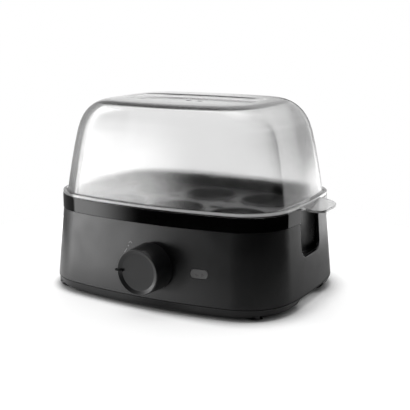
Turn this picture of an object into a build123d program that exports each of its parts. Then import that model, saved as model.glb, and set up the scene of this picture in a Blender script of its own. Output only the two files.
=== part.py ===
"""Electric egg cooker for six eggs.

A low, bowed base holds a heated water bowl; a perforated tray carries the eggs over the
water, and a clear dome with a grip tab at each end lifts off the top. A knob on the front
sets the cooking time and a small lens beside it glows while the bowl is hot.

Units are millimetres. The origin is the middle of the footprint, on the worktop. +X points
to the right of someone facing the knob, +Y to the back and +Z up.
"""

from build123d import *
import os
from math import asin, atan, comb, cos, radians, sin, sqrt

os.makedirs("parts", exist_ok=True)

# Overall size
body_width = 185.0
body_depth = 140.0
overall_height = 134.0

# Levels, from the worktop up
skirt_z = 0.5
floor_z = 4.6
floor_thickness = 2.2
seam_z = 7.9
seam_gap = 0.4
ledge_z = 54.6
ledge_thickness = 2.2
shoulder_z = 56.2
band_gap = 0.3
rim_z = 66.0

# Plan outline: each side bows out, and the corners are round
front_bow = 0.156
side_bow = 0.056
corner_share = 0.52

# Housing and gloss band
wall = 2.4
shoulder_width = 177.0
shoulder_depth = 130.2
band_proud = 0.3
band_wall = 2.2
rim_thickness = 1.6
inner_wall_inset = 7.9
inner_wall = 1.6
rib_inset = 6.0
rib_width = 1.6
rib_height = 1.4

# Finger recess under each grip tab
recess_half_width = 15.5
recess_bottom_z = 32.5
recess_corner = 7.0
recess_depth = 5.8
liner_wall = 1.6

# Clear dome
dome_wall = 2.0
dome_inset = 3.0
flange_thickness = 1.6
flange_inset = 0.3
bead_width = 1.4
bead_height = 0.8
dome_top_x = 52.0
dome_top_y = 35.0
dome_rises = (0.0, 0.25, 0.55, 0.84, 1.0, 1.0)
dome_spread_x = (1.0, 0.97, 0.73, 0.96, 0.39, 0.0)
dome_spread_y = (1.0, 0.93, 0.87, 0.72, 0.72, 0.0)
dome_sections = 9
dish_depth = 2.0
dish_x = 55.0
dish_y = 24.0
vent_diameter = 4.0
vent_spacing = 9.0
tab_reach = 103.0
tab_half_width = 18.0
tab_corner = 8.0
tab_drop = 2.0
tab_thickness = 1.7

# Water bowl and its seal
bowl_wall = 1.4
bowl_floor_z = 38.0
bowl_floor_width = 136.0
bowl_floor_depth = 89.0
bowl_top_inset = 13.8
bowl_flange_inset = 8.2
bowl_flange_thickness = 1.2
bowl_floor_round = 4.0
seal_thickness = 1.0
seal_margin = 0.4
ledge_inset = 13.0

# Egg tray
tray_thickness = 1.8
tray_clearance = 0.8
tray_skirt_depth = 3.0
tray_skirt_clearance = 1.9
tray_skirt_wall = 1.4
egg_pitch_x = 47.0
egg_pitch_y = 52.0
egg_hole = 38.0
egg_lip = 1.6
egg_lip_height = 1.2
egg_columns = 3
egg_rows = 2
slot_length = 11.0
slot_width = 5.0
slot_spacing = 20.0

# Heater under the bowl
heater_radius = 38.0
heater_thickness = 5.0
heater_edge = 1.0
element_ring = 29.0
element_diameter = 6.6
element_gap_angle = 60.0
element_clearance = 0.1
element_bend = 7.0
element_tail = 3.0
pin_diameter = 2.2
pin_length = 7.0
pin_bead_diameter = 5.0
pin_bead_length = 3.0
stud_count = 3
stud_circle_radius = 18.0
stud_diameter = 4.0
stud_length = 11.0
stud_clearance = 0.2
nut_width = 7.0
nut_thickness = 3.2
nut_clearance = 0.05

# Thermostat and thermal fuse, held under the heater
thermostat_diameter = 15.0
thermostat_flange = 17.4
thermostat_flange_thickness = 1.5
thermostat_height = 9.0
blade_width = 6.3
blade_thickness = 0.8
blade_length = 7.0
bracket_ring = 21.0
bracket_span = 46.0
bracket_width = 8.0
bracket_thickness = 1.2
bracket_screw_x = 19.5
bracket_boss = 6.0
fuse_diameter = 4.0
fuse_length = 16.0
fuse_y = -20.0
fuse_lead = 1.0
fuse_lead_length = 5.0
clip_width = 6.0
clip_thickness = 0.8
clip_screw_y = -13.3

# Knob, timer and shaft
knob_x = 7.5
knob_z = 30.0
knob_radius = 15.2
knob_back_radius = 15.9
knob_length = 17.3
knob_gap = 0.9
knob_wall = 1.8
knob_face = 2.4
knob_hub_radius = 5.4
knob_bevel = 2.0
knob_dish = 1.3
knob_edge = 0.7
pointer_width = 1.6
pointer_depth = 0.7
pointer_inner_radius = 10.8
pointer_side_length = 6.0
shaft_diameter = 6.0
shaft_clearance = 0.05
shaft_flat = 1.2
shaft_engagement = 11.0
shaft_inside = 8.0
bushing_diameter = 9.4
bushing_clearance = 0.3
bushing_proud = 0.4
timer_width = 26.0
timer_height = 22.0
timer_depth = 12.0
timer_ear_width = 37.0
timer_ear_height = 12.0
timer_ear_thickness = 1.6
timer_screw_spacing = 31.0
timer_boss_length = 4.5
boss_diameter = 5.4

# Indicator lens, its lamp and board
lens_x = 40.4
lens_z = 28.3
lens_width = 12.5
lens_height = 6.3
lens_corner = 2.6
lens_clearance = 0.15
lens_proud = 0.2
lens_depth = 5.0
lens_flange = 1.4
lens_flange_thickness = 1.2
board_width = 28.0
board_height = 11.0
board_thickness = 1.6
board_setback = 10.5
board_screw_spacing = 22.0
lamp_diameter = 5.0
lamp_length = 3.6

# Bottom cover and feet
skirt_width = 6.5
skirt_round = 3.5
arch_half_width = 23.0
arch_z = 3.0
arch_corner = 1.5
lip_clearance = 0.5
lip_width = 1.6
lip_height = 2.6
post_x = 72.0
post_y = 38.0
post_diameter = 8.0
post_top_z = 32.0
foot_x = 66.0
foot_y = 47.0
foot_diameter = 12.0
foot_recess = 0.8
foot_round = 1.0
vent_slot_length = 18.0
vent_slot_width = 2.4
vent_slot_pitch = 7.0
vent_slot_rows = 4

# Screws
screw_diameter = 3.0
screw_clearance = 0.2
screw_head = 5.8
screw_head_height = 2.0
cover_screw_length = 14.0
collar_screw_length = 9.0
collar_screw_x = 45.0
collar_screw_inset = 5.35
collar_head = 5.0
collar_boss = 4.8
heater_screw_length = 5.0
small_screw = 2.4
small_head = 4.4
small_head_height = 1.5
small_screw_length = 6.0

# Mains entry at the back, and the block its conductors end in
gland_x = 0.0
gland_z = 21.0
gland_neck = 12.0
gland_bore = 7.0
gland_flange = 17.0
gland_flange_thickness = 2.0
gland_lock = 14.4
gland_lock_thickness = 1.6
gland_lock_gap = 0.2
block_width = 24.0
block_depth = 12.0
block_height = 11.0
block_corner = 1.0
block_y = 52.0
block_way_pitch = 8.0
block_way_diameter = 4.0

# Sizes that follow from the ones above
foot_size = (body_width / 2, body_depth / 2)
shoulder_size = (shoulder_width / 2, shoulder_depth / 2)
band_size = (shoulder_size[0] + band_proud, shoulder_size[1] + band_proud)
bowl_floor_size = (bowl_floor_width / 2, bowl_floor_depth / 2)
band_z = shoulder_z + band_gap
flange_z = rim_z
bowl_flange_z = ledge_z + seal_thickness
tray_z = bowl_flange_z + bowl_flange_thickness
inner_face_inset = inner_wall_inset + inner_wall
tray_inset = inner_face_inset + tray_clearance
cover_top_z = floor_z + floor_thickness
heater_z = bowl_floor_z - heater_thickness
lean = atan((foot_size[1] - shoulder_size[1]) / (shoulder_z - seam_z))


def bow_radius(half_chord, rise):
    """Radius of the arc that rises this far over this half chord."""
    return (half_chord**2 + rise**2) / (2 * rise)


def outline(size, inset):
    """The cooker's plan outline, inset evenly: four shallow arcs with rounded corners."""
    half_x, half_y = size
    front = bow_radius(half_x * (1 - side_bow), half_y * front_bow)
    side = bow_radius(half_y * (1 - front_bow), half_x * side_bow)
    # the inset arcs keep their centres, so their crossing gives the new corner
    centre_x = side - half_x
    centre_y = front - half_y
    span = sqrt(centre_x**2 + centre_y**2)
    along = ((front - inset) ** 2 - (side - inset) ** 2 + span**2) / (2 * span)
    across = sqrt((front - inset) ** 2 - along**2)
    corner_x = (across * centre_y - along * centre_x) / span
    corner_y = (across * centre_x + along * centre_y) / span - centre_y
    with BuildSketch() as shape:
        with BuildLine():
            ThreePointArc((-corner_x, -corner_y), (0, inset - half_y), (corner_x, -corner_y))
            ThreePointArc((corner_x, -corner_y), (half_x - inset, 0), (corner_x, corner_y))
            ThreePointArc((corner_x, corner_y), (0, half_y - inset), (-corner_x, corner_y))
            ThreePointArc((-corner_x, corner_y), (inset - half_x, 0), (-corner_x, -corner_y))
        make_face()
        fillet(shape.vertices(), half_y * corner_share - inset)
    return shape.sketch


def plan(z, size, inset=0.0, hole_inset=None):
    """The plan outline at height z; a hole inset, where given, leaves a ring from there out."""
    with BuildSketch(Plane.XY.offset(z)) as level:
        add(outline(size, inset))
        if hole_inset is not None:
            add(outline(size, hole_inset), mode=Mode.SUBTRACT)
    return level.sketch


def wall_size(z):
    """Half sizes of the housing's outer face at height z."""
    share = (z - seam_z) / (shoulder_z - seam_z)
    return tuple(low + share * (high - low) for low, high in zip(foot_size, shoulder_size))


def front_radius(z):
    """Radius of the arc that bows the front and the back of the housing at height z."""
    half_x, half_y = wall_size(z)
    return bow_radius(half_x * (1 - side_bow), half_y * front_bow)


def wall_plane(x, z, side=-1):
    """Plane on the outer face of the front wall (side -1) or the back wall (side 1)."""
    radius = front_radius(z)
    turn = asin(x / radius)
    depth = wall_size(z)[1] - radius * (1 - cos(turn))
    normal = (sin(turn) * cos(lean), side * cos(turn) * cos(lean), sin(lean))
    return Plane(origin=(x, side * depth, z), x_dir=(cos(turn), -side * sin(turn), 0), z_dir=normal)


def screw(diameter, length, head_diameter, head_height):
    """A pan-head screw standing on its head, with the underside of the head at the origin."""
    with BuildPart() as body:
        with BuildSketch(Plane.XY):
            Circle(head_diameter / 2)
        extrude(amount=-head_height)
        fillet(body.faces().sort_by(Axis.Z)[0].edges(), head_height * 0.45)
        with BuildSketch(Plane.XY):
            Circle(diameter / 2)
        extrude(amount=length)
        chamfer(body.faces().sort_by(Axis.Z)[-1].edges(), diameter * 0.15)
    return body.part


# Construction solids: the outside of the housing, and the hollow inside its walls
with BuildPart() as envelope:
    loft([plan(seam_z, foot_size), plan(shoulder_z, shoulder_size)], ruled=True)

with BuildPart() as cavity:
    loft([plan(0, wall_size(0), wall), plan(shoulder_z, shoulder_size, wall)], ruled=True)

with BuildPart() as below_ledge:
    add(cavity.part)
    split(bisect_by=Plane.XY.offset(ledge_z - ledge_thickness), keep=Keep.BOTTOM)

# Finger recesses: an upright scoop behind a U-shaped cut-out in each end wall
scoop_reach = recess_depth - wall
scoop_radius = (recess_half_width**2 + scoop_reach**2) / (2 * scoop_reach)
scoop_x = band_size[0] - recess_depth + scoop_radius
scoop_bottom_z = recess_bottom_z - liner_wall


def scoops(z, radius, height):
    """Two upright cylinders, one beyond each end wall, which shape the finger recesses."""
    with BuildPart() as pair:
        with BuildSketch(Plane.XY.offset(z)):
            with GridLocations(2 * scoop_x, 0, 2, 1):
                Circle(radius)
        extrude(amount=height)
    return pair.part


with BuildPart() as recess_space:
    add(scoops(scoop_bottom_z, scoop_radius + liner_wall, overall_height))
    add(cavity.part, mode=Mode.INTERSECT)

with BuildPart() as recess_cutout:
    with BuildSketch(Plane.YZ) as opening:
        with Locations((0, recess_bottom_z)):
            Rectangle(2 * recess_half_width, overall_height, align=(Align.CENTER, Align.MIN))
        fillet(opening.vertices().group_by(Axis.Y)[0], recess_corner)
    extrude(amount=body_width, both=True)
    with BuildSketch(Plane.XY):
        Rectangle(2 * (scoop_x - scoop_radius), body_depth)
    extrude(amount=2 * overall_height, mode=Mode.SUBTRACT)

# Bosses inside the housing: posts for the cover screws, and pegs for the timer and the board
timer_plane = Plane.XZ.offset(-wall_plane(knob_x, knob_z).origin.Y - wall - timer_boss_length)
board_plane = Plane.XZ.offset(-wall_plane(lens_x, lens_z).origin.Y - board_setback)
post_spots = GridLocations(2 * post_x, 2 * post_y, 2, 2)
collar_screw_y = -wall_plane(collar_screw_x, shoulder_z).origin.Y - collar_screw_inset
collar_screw_spots = GridLocations(2 * collar_screw_x, 2 * collar_screw_y, 2, 2)

with BuildPart() as bosses:
    with BuildSketch(Plane.XY.offset(cover_top_z)):
        with post_spots:
            Circle(post_diameter / 2)
    extrude(amount=post_top_z - cover_top_z)
    with BuildSketch(Plane.XY.offset(seam_z + lip_height + lip_clearance)):
        with GridLocations(2 * (post_x + post_diameter), 2 * post_y, 2, 2):
            Rectangle(2 * post_diameter, wall)
    extrude(amount=post_top_z - seam_z - lip_height - lip_clearance)
    with BuildSketch(timer_plane):
        with Locations((knob_x, knob_z)):
            with GridLocations(timer_screw_spacing, 0, 2, 1):
                Circle(boss_diameter / 2)
    extrude(amount=body_depth)
    with BuildSketch(board_plane):
        with Locations((lens_x, lens_z)):
            with GridLocations(board_screw_spacing, 0, 2, 1):
                Circle(boss_diameter / 2)
    extrude(amount=body_depth)
    add(envelope.part, mode=Mode.INTERSECT)

# Housing: a drafted shell, open below, with a ledge inside its top edge for the bowl
lens_plane = wall_plane(lens_x, lens_z)
gland_plane = wall_plane(gland_x, gland_z, side=1)

with BuildPart() as housing:
    add(envelope.part)
    add(below_ledge.part, mode=Mode.SUBTRACT)
    extrude(plan(ledge_z, shoulder_size, wall), amount=overall_height, mode=Mode.SUBTRACT)
    extrude(plan(0, band_size, ledge_inset), amount=overall_height, mode=Mode.SUBTRACT)
    add(bosses.part)
    add(recess_space.part, mode=Mode.SUBTRACT)
    add(recess_cutout.part, mode=Mode.SUBTRACT)
    # holes for the knob's bushing, the lens, the mains entry and every screw
    with BuildSketch(timer_plane):
        with Locations((knob_x, knob_z)):
            Circle(bushing_diameter / 2 + bushing_clearance)
            with GridLocations(timer_screw_spacing, 0, 2, 1):
                Circle(small_screw / 2)
    extrude(amount=timer_boss_length, mode=Mode.SUBTRACT)
    with BuildSketch(timer_plane):
        with Locations((knob_x, knob_z)):
            Circle(bushing_diameter / 2 + bushing_clearance)
    extrude(amount=body_depth, mode=Mode.SUBTRACT)
    with BuildSketch(board_plane):
        with Locations((lens_x, lens_z)):
            with GridLocations(board_screw_spacing, 0, 2, 1):
                Circle(small_screw / 2)
    extrude(amount=small_screw_length, mode=Mode.SUBTRACT)
    with BuildSketch(lens_plane):
        RectangleRounded(lens_width, lens_height, lens_corner)
    extrude(amount=2 * wall, both=True, mode=Mode.SUBTRACT)
    with BuildSketch(gland_plane):
        Circle(gland_neck / 2)
    extrude(amount=2 * wall, both=True, mode=Mode.SUBTRACT)
    with BuildSketch(Plane.XY.offset(cover_top_z)):
        with post_spots:
            Circle(screw_diameter / 2)
    extrude(amount=cover_screw_length, mode=Mode.SUBTRACT)
    with BuildSketch(Plane.XY.offset(ledge_z)):
        with collar_screw_spots:
            Circle(screw_diameter / 2 + screw_clearance)
    extrude(amount=-2 * ledge_thickness, mode=Mode.SUBTRACT)

# Gloss band: an upside-down channel around the bowl, with the two finger recesses moulded in
with BuildPart() as liner_limits:
    add(cavity.part)
    extrude(plan(shoulder_z, band_size, band_wall / 2), amount=rim_z - shoulder_z)

with BuildPart() as liners:
    add(scoops(scoop_bottom_z, scoop_radius + liner_wall, rim_z - scoop_bottom_z))
    add(scoops(recess_bottom_z, scoop_radius, overall_height), mode=Mode.SUBTRACT)
    add(liner_limits.part, mode=Mode.INTERSECT)

with BuildPart() as band_notches:
    add(scoops(recess_bottom_z, scoop_radius, overall_height))
    with BuildSketch(Plane.XY):
        Rectangle(2 * body_width, 2 * recess_half_width)
    extrude(amount=2 * overall_height, mode=Mode.INTERSECT)

with BuildPart() as gloss_band:
    extrude(plan(band_z, band_size, 0, band_wall), amount=rim_z - band_z)
    extrude(plan(tray_z, band_size, inner_wall_inset, inner_face_inset), amount=rim_z - tray_z)
    extrude(plan(rim_z, band_size, 0, inner_face_inset), amount=-rim_thickness)
    extrude(plan(rim_z, band_size, rib_inset, rib_inset + rib_width), amount=rib_height)
    with BuildSketch(Plane.XY.offset(ledge_z)):
        with collar_screw_spots:
            Circle(collar_boss / 2)
    extrude(amount=rim_z - ledge_z - rim_thickness / 2)
    add(liners.part)
    add(band_notches.part, mode=Mode.SUBTRACT)
    with BuildSketch(Plane.XY.offset(ledge_z)):
        with collar_screw_spots:
            Circle(screw_diameter / 2)
    extrude(amount=collar_screw_length, mode=Mode.SUBTRACT)

# Water bowl: a shallow pressed pan with a flat flange and three studs for the heater
stud_spots = PolarLocations(stud_circle_radius, stud_count, start_angle=90)

with BuildPart() as bowl_inside:
    loft(
        [
            plan(bowl_floor_z + bowl_wall, bowl_floor_size, bowl_wall),
            plan(tray_z, band_size, bowl_top_inset + bowl_wall),
        ],
        ruled=True,
    )
    fillet(bowl_inside.faces().sort_by(Axis.Z)[0].edges(), bowl_floor_round - bowl_wall)

with BuildPart() as water_bowl:
    loft(
        [plan(bowl_floor_z, bowl_floor_size), plan(bowl_flange_z, band_size, bowl_top_inset)],
        ruled=True,
    )
    fillet(water_bowl.faces().sort_by(Axis.Z)[0].edges(), bowl_floor_round)
    extrude(plan(bowl_flange_z, band_size, bowl_flange_inset), amount=bowl_flange_thickness)
    add(bowl_inside.part, mode=Mode.SUBTRACT)
    with BuildSketch(Plane.XY.offset(bowl_floor_z)):
        with stud_spots:
            Circle(stud_diameter / 2)
    extrude(amount=-stud_length)

with BuildPart() as bowl_seal:
    seal_edges = (bowl_flange_inset + seal_margin, ledge_inset - seal_margin)
    extrude(plan(ledge_z, band_size, *seal_edges), amount=seal_thickness)

# Egg tray: a flat plate with six lipped seats, steam slots between them and a locating skirt
egg_spots = GridLocations(egg_pitch_x, egg_pitch_y, egg_columns, egg_rows)
skirt_inset = bowl_top_inset + bowl_wall + tray_skirt_clearance

with BuildPart() as egg_tray:
    extrude(plan(tray_z, band_size, tray_inset), amount=tray_thickness)
    extrude(
        plan(tray_z, band_size, skirt_inset, skirt_inset + tray_skirt_wall),
        amount=-tray_skirt_depth,
    )
    with BuildSketch(Plane.XY.offset(tray_z)):
        with egg_spots:
            Circle(egg_hole / 2 + egg_lip)
    extrude(amount=-tray_skirt_depth, mode=Mode.SUBTRACT)
    with BuildSketch(Plane.XY.offset(tray_z)):
        with egg_spots:
            Circle(egg_hole / 2 + egg_lip)
    extrude(amount=tray_thickness + egg_lip_height)
    with BuildSketch(Plane.XY.offset(tray_z)):
        with egg_spots:
            Circle(egg_hole / 2)
        with GridLocations(egg_pitch_x, slot_spacing, egg_columns - 1, 2):
            SlotOverall(slot_length, slot_width)
    extrude(amount=2 * tray_thickness, mode=Mode.SUBTRACT)
    lips = egg_tray.faces().filter_by(Axis.Z).group_by(Axis.Z)[-1]
    chamfer(lips.edges(), egg_lip * 0.3)

# Dome: walls that lean in and round over into a dished top, on a flange with two grip tabs
dome_base = tuple(half - dome_inset for half in band_size)
dome_top = (dome_top_x, dome_top_y)


def curve(controls, place):
    """Value of the Bezier curve with these control values at this place from 0 to 1."""
    last = len(controls) - 1
    return sum(
        comb(last, step) * (1 - place) ** (last - step) * place**step * value
        for step, value in enumerate(controls)
    )


def dome_plans(height, inset):
    """Plan outlines of the dome from its foot to its top: a drafted wall, then a round shoulder."""
    outlines = []
    for step in range(dome_sections):
        place = step / (dome_sections - 1)
        half_x = dome_top[0] + (dome_base[0] - dome_top[0]) * curve(dome_spread_x, place)
        half_y = dome_top[1] + (dome_base[1] - dome_top[1]) * curve(dome_spread_y, place)
        outlines.append(plan(rim_z + height * curve(dome_rises, place), (half_x, half_y), inset))
    return outlines


with BuildPart() as dome_outside:
    loft(dome_plans(overall_height - rim_z, 0))

with BuildPart() as dome_inside:
    loft(dome_plans(overall_height - rim_z - dome_wall, dome_wall))

dish_size = (dish_x, dish_y)
dish_z = overall_height - dish_depth

with BuildPart() as tab:
    with BuildSketch(Plane.XZ):
        with BuildLine():
            Polyline(
                (dome_base[0] - dome_wall / 2, flange_z),
                (band_size[0] + flange_inset, flange_z),
                (tab_reach, flange_z - tab_drop),
                (tab_reach, flange_z - tab_drop + tab_thickness),
                (band_size[0] - flange_inset, flange_z + tab_thickness),
                (dome_base[0] - dome_wall / 2, flange_z + tab_thickness),
                close=True,
            )
        make_face()
    extrude(amount=tab_half_width, both=True)
    with BuildSketch(Plane.XY):
        RectangleRounded(2 * tab_reach, 2 * tab_half_width, tab_corner)
    extrude(amount=overall_height, mode=Mode.INTERSECT)

with BuildPart() as lid:
    add(dome_outside.part)
    extrude(plan(rim_z, band_size, flange_inset), amount=flange_thickness)
    bead_top = flange_thickness + bead_height
    extrude(plan(rim_z, band_size, flange_inset, flange_inset + bead_width), amount=bead_top)
    add(tab.part)
    add(tab.part.mirror(Plane.YZ))
    add(dome_inside.part, mode=Mode.SUBTRACT)
    extrude(plan(dish_z - dome_wall, dish_size), amount=dome_wall)
    extrude(plan(dish_z, dish_size, dome_wall), amount=2 * dish_depth, mode=Mode.SUBTRACT)
    with BuildSketch(Plane.XY.offset(dish_z - 2 * dome_wall)):
        with GridLocations(vent_spacing, 0, 2, 1):
            Circle(vent_diameter / 2)
    extrude(amount=4 * dome_wall, mode=Mode.SUBTRACT)

# Heater: an aluminium disc under the bowl with a ring groove for the tubular element
bracket_spots = GridLocations(2 * bracket_screw_x, 0, 2, 1)

with BuildPart() as heater_plate:
    with BuildSketch(Plane.XY.offset(heater_z)):
        Circle(heater_radius)
    extrude(amount=heater_thickness)
    fillet(heater_plate.faces().sort_by(Axis.Z)[0].edges(), heater_edge)
    with BuildSketch(Plane.XY.offset(heater_z)):
        with bracket_spots:
            Circle(bracket_boss / 2)
    extrude(amount=-thermostat_flange_thickness)
    with BuildSketch(Plane.XZ):
        with Locations((element_ring, heater_z)):
            Circle(element_diameter / 2 + element_clearance)
    revolve(axis=Axis.Z, mode=Mode.SUBTRACT)
    with BuildSketch(Plane.XY.offset(heater_z)):
        with stud_spots:
            Circle(stud_diameter / 2 + stud_clearance)
    extrude(amount=heater_thickness, mode=Mode.SUBTRACT)
    with BuildSketch(Plane.XY.offset(heater_z - thermostat_flange_thickness)):
        with bracket_spots:
            Circle(small_screw / 2)
        with Locations((0, clip_screw_y)):
            Circle(small_screw / 2)
    extrude(amount=small_screw_length, mode=Mode.SUBTRACT)

half_gap = radians(element_gap_angle / 2)
element_ends = [
    Vector(side * element_ring * sin(half_gap), element_ring * cos(half_gap), heater_z)
    for side in (-1, 1)
]
element_turns = [Vector(-side * cos(half_gap), sin(half_gap), 0) for side in (-1, 1)]

with BuildPart() as heating_element:
    with BuildLine() as path:
        CenterArc(
            (0, 0, heater_z), element_ring, 90 + element_gap_angle / 2, 360 - element_gap_angle
        )
        for end, turn in zip(element_ends, element_turns):
            knee = end + turn * element_bend - Vector(0, 0, element_bend)
            TangentArc(end, knee, tangent=turn)
            Line(knee, knee - Vector(0, 0, element_tail))
    with BuildSketch(Plane(origin=path.wires()[0] @ 0, z_dir=path.wires()[0] % 0)):
        Circle(element_diameter / 2)
    sweep(path=path.wires()[0])

pin_top_z = heater_z - element_bend - element_tail

with BuildPart() as element_pins:
    tails = [end + turn * element_bend for end, turn in zip(element_ends, element_turns)]
    for drop, length, diameter in (
        (0, pin_bead_length, pin_bead_diameter),
        (pin_bead_length, pin_length, pin_diameter),
    ):
        with BuildSketch(Plane.XY.offset(pin_top_z - drop)):
            with Locations(*[(tail.X, tail.Y) for tail in tails]):
                Circle(diameter / 2)
        extrude(amount=-length)

with BuildPart() as heater_nuts:
    with BuildSketch(Plane.XY.offset(heater_z)):
        with stud_spots:
            RegularPolygon(nut_width / 2, 6, major_radius=False)
            Circle(stud_diameter / 2 + nut_clearance, mode=Mode.SUBTRACT)
    extrude(amount=-nut_thickness)

with BuildPart() as thermostat:
    with BuildSketch(Plane.XY.offset(heater_z)):
        Circle(thermostat_flange / 2)
    extrude(amount=-thermostat_flange_thickness)
    with BuildSketch(Plane.XY.offset(heater_z)):
        Circle(thermostat_diameter / 2)
    extrude(amount=-thermostat_height)
    with BuildSketch(Plane.XY.offset(heater_z - thermostat_height)):
        with GridLocations(thermostat_diameter * 0.55, 0, 2, 1):
            Rectangle(blade_thickness, blade_width)
    extrude(amount=-blade_length)

bracket_z = heater_z - thermostat_flange_thickness

with BuildPart() as thermostat_bracket:
    with BuildSketch(Plane.XY.offset(bracket_z)):
        Circle(bracket_ring / 2)
        SlotOverall(bracket_span, bracket_width)
        Circle(thermostat_diameter / 2 + stud_clearance, mode=Mode.SUBTRACT)
        with bracket_spots:
            Circle(small_screw / 2 + screw_clearance, mode=Mode.SUBTRACT)
    extrude(amount=-bracket_thickness)

fuse_z = heater_z - fuse_diameter / 2

with BuildPart() as thermal_fuse:
    with BuildSketch(Plane.YZ.offset(-fuse_length / 2)):
        with Locations((fuse_y, fuse_z)):
            Circle(fuse_diameter / 2)
    extrude(amount=fuse_length)
    with BuildSketch(Plane.YZ.offset(-fuse_length / 2 - fuse_lead_length)):
        with Locations((fuse_y, fuse_z)):
            Circle(fuse_lead / 2)
    extrude(amount=fuse_length + 2 * fuse_lead_length)

with BuildPart() as fuse_clip:
    saddle_radius = fuse_diameter / 2 + nut_clearance
    with BuildSketch(Plane.YZ):
        with Locations((fuse_y, fuse_z)):
            Circle(saddle_radius + clip_thickness)
        with Locations((fuse_y, heater_z)):
            Rectangle(4 * fuse_diameter, fuse_diameter, align=(Align.CENTER, Align.MIN), mode=Mode.SUBTRACT)
        with Locations((clip_screw_y + small_head / 2, heater_z)):
            Rectangle(
                clip_screw_y + small_head / 2 - fuse_y, clip_thickness, align=(Align.MAX, Align.MAX)
            )
        with Locations((fuse_y, fuse_z)):
            Circle(saddle_radius, mode=Mode.SUBTRACT)
            Rectangle(2 * saddle_radius, fuse_diameter, align=(Align.CENTER, Align.MIN), mode=Mode.SUBTRACT)
    extrude(amount=clip_width / 2, both=True)
    with BuildSketch(Plane.XY.offset(heater_z)):
        with Locations((0, clip_screw_y)):
            Circle(small_screw / 2 + screw_clearance)
    extrude(amount=-2 * clip_thickness, mode=Mode.SUBTRACT)

# Timer behind the front wall, its shaft, and the knob with its inlaid pointer
timer_y = timer_plane.origin.Y
knob_back_y = wall_plane(knob_x, knob_z - knob_back_radius).origin.Y - knob_gap
knob_axis = Axis((knob_x, 0, knob_z), (0, 1, 0))
knob_section = Plane(origin=(knob_x, 0, knob_z), x_dir=(-1, 0, 0), z_dir=(0, 0, 1))
shaft_front_y = knob_back_y - shaft_engagement


def front_plane(y):
    """Upright plane at this y, facing the front, with its origin on the knob's axis."""
    return Plane(origin=(knob_x, y, knob_z), x_dir=(1, 0, 0), z_dir=(0, -1, 0))


with BuildPart() as timer_body:
    with BuildSketch(front_plane(timer_y)):
        RectangleRounded(timer_ear_width, timer_ear_height, timer_ear_height * 0.3)
        with GridLocations(timer_screw_spacing, 0, 2, 1):
            Circle(small_screw / 2 + screw_clearance, mode=Mode.SUBTRACT)
    extrude(amount=-timer_ear_thickness)
    with BuildSketch(front_plane(timer_y)):
        RectangleRounded(timer_width, timer_height, boss_diameter / 4)
    extrude(amount=-timer_depth)
    with BuildSketch(front_plane(timer_y)):
        Circle(bushing_diameter / 2)
    extrude(amount=timer_y - wall_plane(knob_x, knob_z).origin.Y + bushing_proud)
    with BuildSketch(front_plane(timer_y + shaft_inside)):
        Circle(shaft_diameter / 2 + shaft_clearance)
    extrude(amount=body_depth, mode=Mode.SUBTRACT)

with BuildPart() as timer_shaft:
    with BuildSketch(front_plane(timer_y + shaft_inside - shaft_clearance)):
        Circle(shaft_diameter / 2)
    extrude(amount=timer_y + shaft_inside - shaft_clearance - shaft_front_y)
    with BuildSketch(front_plane(shaft_front_y)):
        with Locations((0, shaft_diameter / 2)):
            Rectangle(2 * shaft_diameter, 2 * shaft_flat)
    extrude(amount=-shaft_engagement, mode=Mode.SUBTRACT)

knob_front = knob_length - knob_back_y

with BuildPart() as knob_blank:
    with BuildSketch(knob_section):
        with BuildLine():
            Polyline(
                (0, knob_front - knob_dish),
                (knob_radius - knob_edge - knob_bevel, knob_front - knob_dish),
                (knob_radius - knob_edge, knob_front),
                (knob_radius, knob_front - knob_edge),
                (knob_back_radius, -knob_back_y),
                (knob_back_radius - knob_wall, -knob_back_y),
                (knob_radius - knob_wall, knob_front - knob_dish - knob_face),
                (knob_hub_radius, knob_front - knob_dish - knob_face),
                (knob_hub_radius, -knob_back_y),
                (0, -knob_back_y),
                close=True,
            )
        make_face()
    revolve(axis=knob_axis)
    with BuildSketch(front_plane(knob_back_y)):
        Circle(shaft_diameter / 2 + nut_clearance)
        with Locations((0, shaft_diameter / 2 + nut_clearance)):
            Rectangle(2 * shaft_diameter, 2 * shaft_flat, mode=Mode.SUBTRACT)
    extrude(amount=shaft_engagement + nut_clearance, mode=Mode.SUBTRACT)

# the slot runs from the dished face, over the rim and part of the way down the side
with BuildPart() as pointer_slot:
    with BuildSketch(knob_section):
        with BuildLine():
            Polyline(
                (pointer_inner_radius, knob_front + pointer_depth),
                (knob_back_radius + pointer_depth, knob_front + pointer_depth),
                (knob_back_radius + pointer_depth, knob_front - pointer_side_length),
                (knob_radius - pointer_depth, knob_front - pointer_side_length),
                (knob_radius - pointer_depth, knob_front - knob_dish - pointer_depth),
                (pointer_inner_radius, knob_front - knob_dish - pointer_depth),
                close=True,
            )
        make_face()
    extrude(amount=pointer_width / 2, both=True)

with BuildPart() as knob_pointer:
    add(knob_blank.part)
    add(pointer_slot.part, mode=Mode.INTERSECT)

with BuildPart() as knob:
    add(knob_blank.part)
    add(pointer_slot.part, mode=Mode.SUBTRACT)

# Indicator: a lens set in the front wall, and a board on two pegs carrying its lamp
with BuildPart() as indicator_lens:
    with BuildSketch(lens_plane.offset(lens_proud)):
        RectangleRounded(
            lens_width - 2 * lens_clearance, lens_height - 2 * lens_clearance, lens_corner - lens_clearance
        )
    extrude(amount=-lens_depth - lens_proud)
    fillet(indicator_lens.faces().sort_by(Axis.Y)[0].edges(), lens_proud)
    with BuildSketch(lens_plane.offset(-wall - lens_clearance)):
        RectangleRounded(lens_width + 2 * lens_flange, lens_height + 2 * lens_flange, lens_corner)
    extrude(amount=-lens_flange_thickness)

board_y = board_plane.origin.Y

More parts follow.
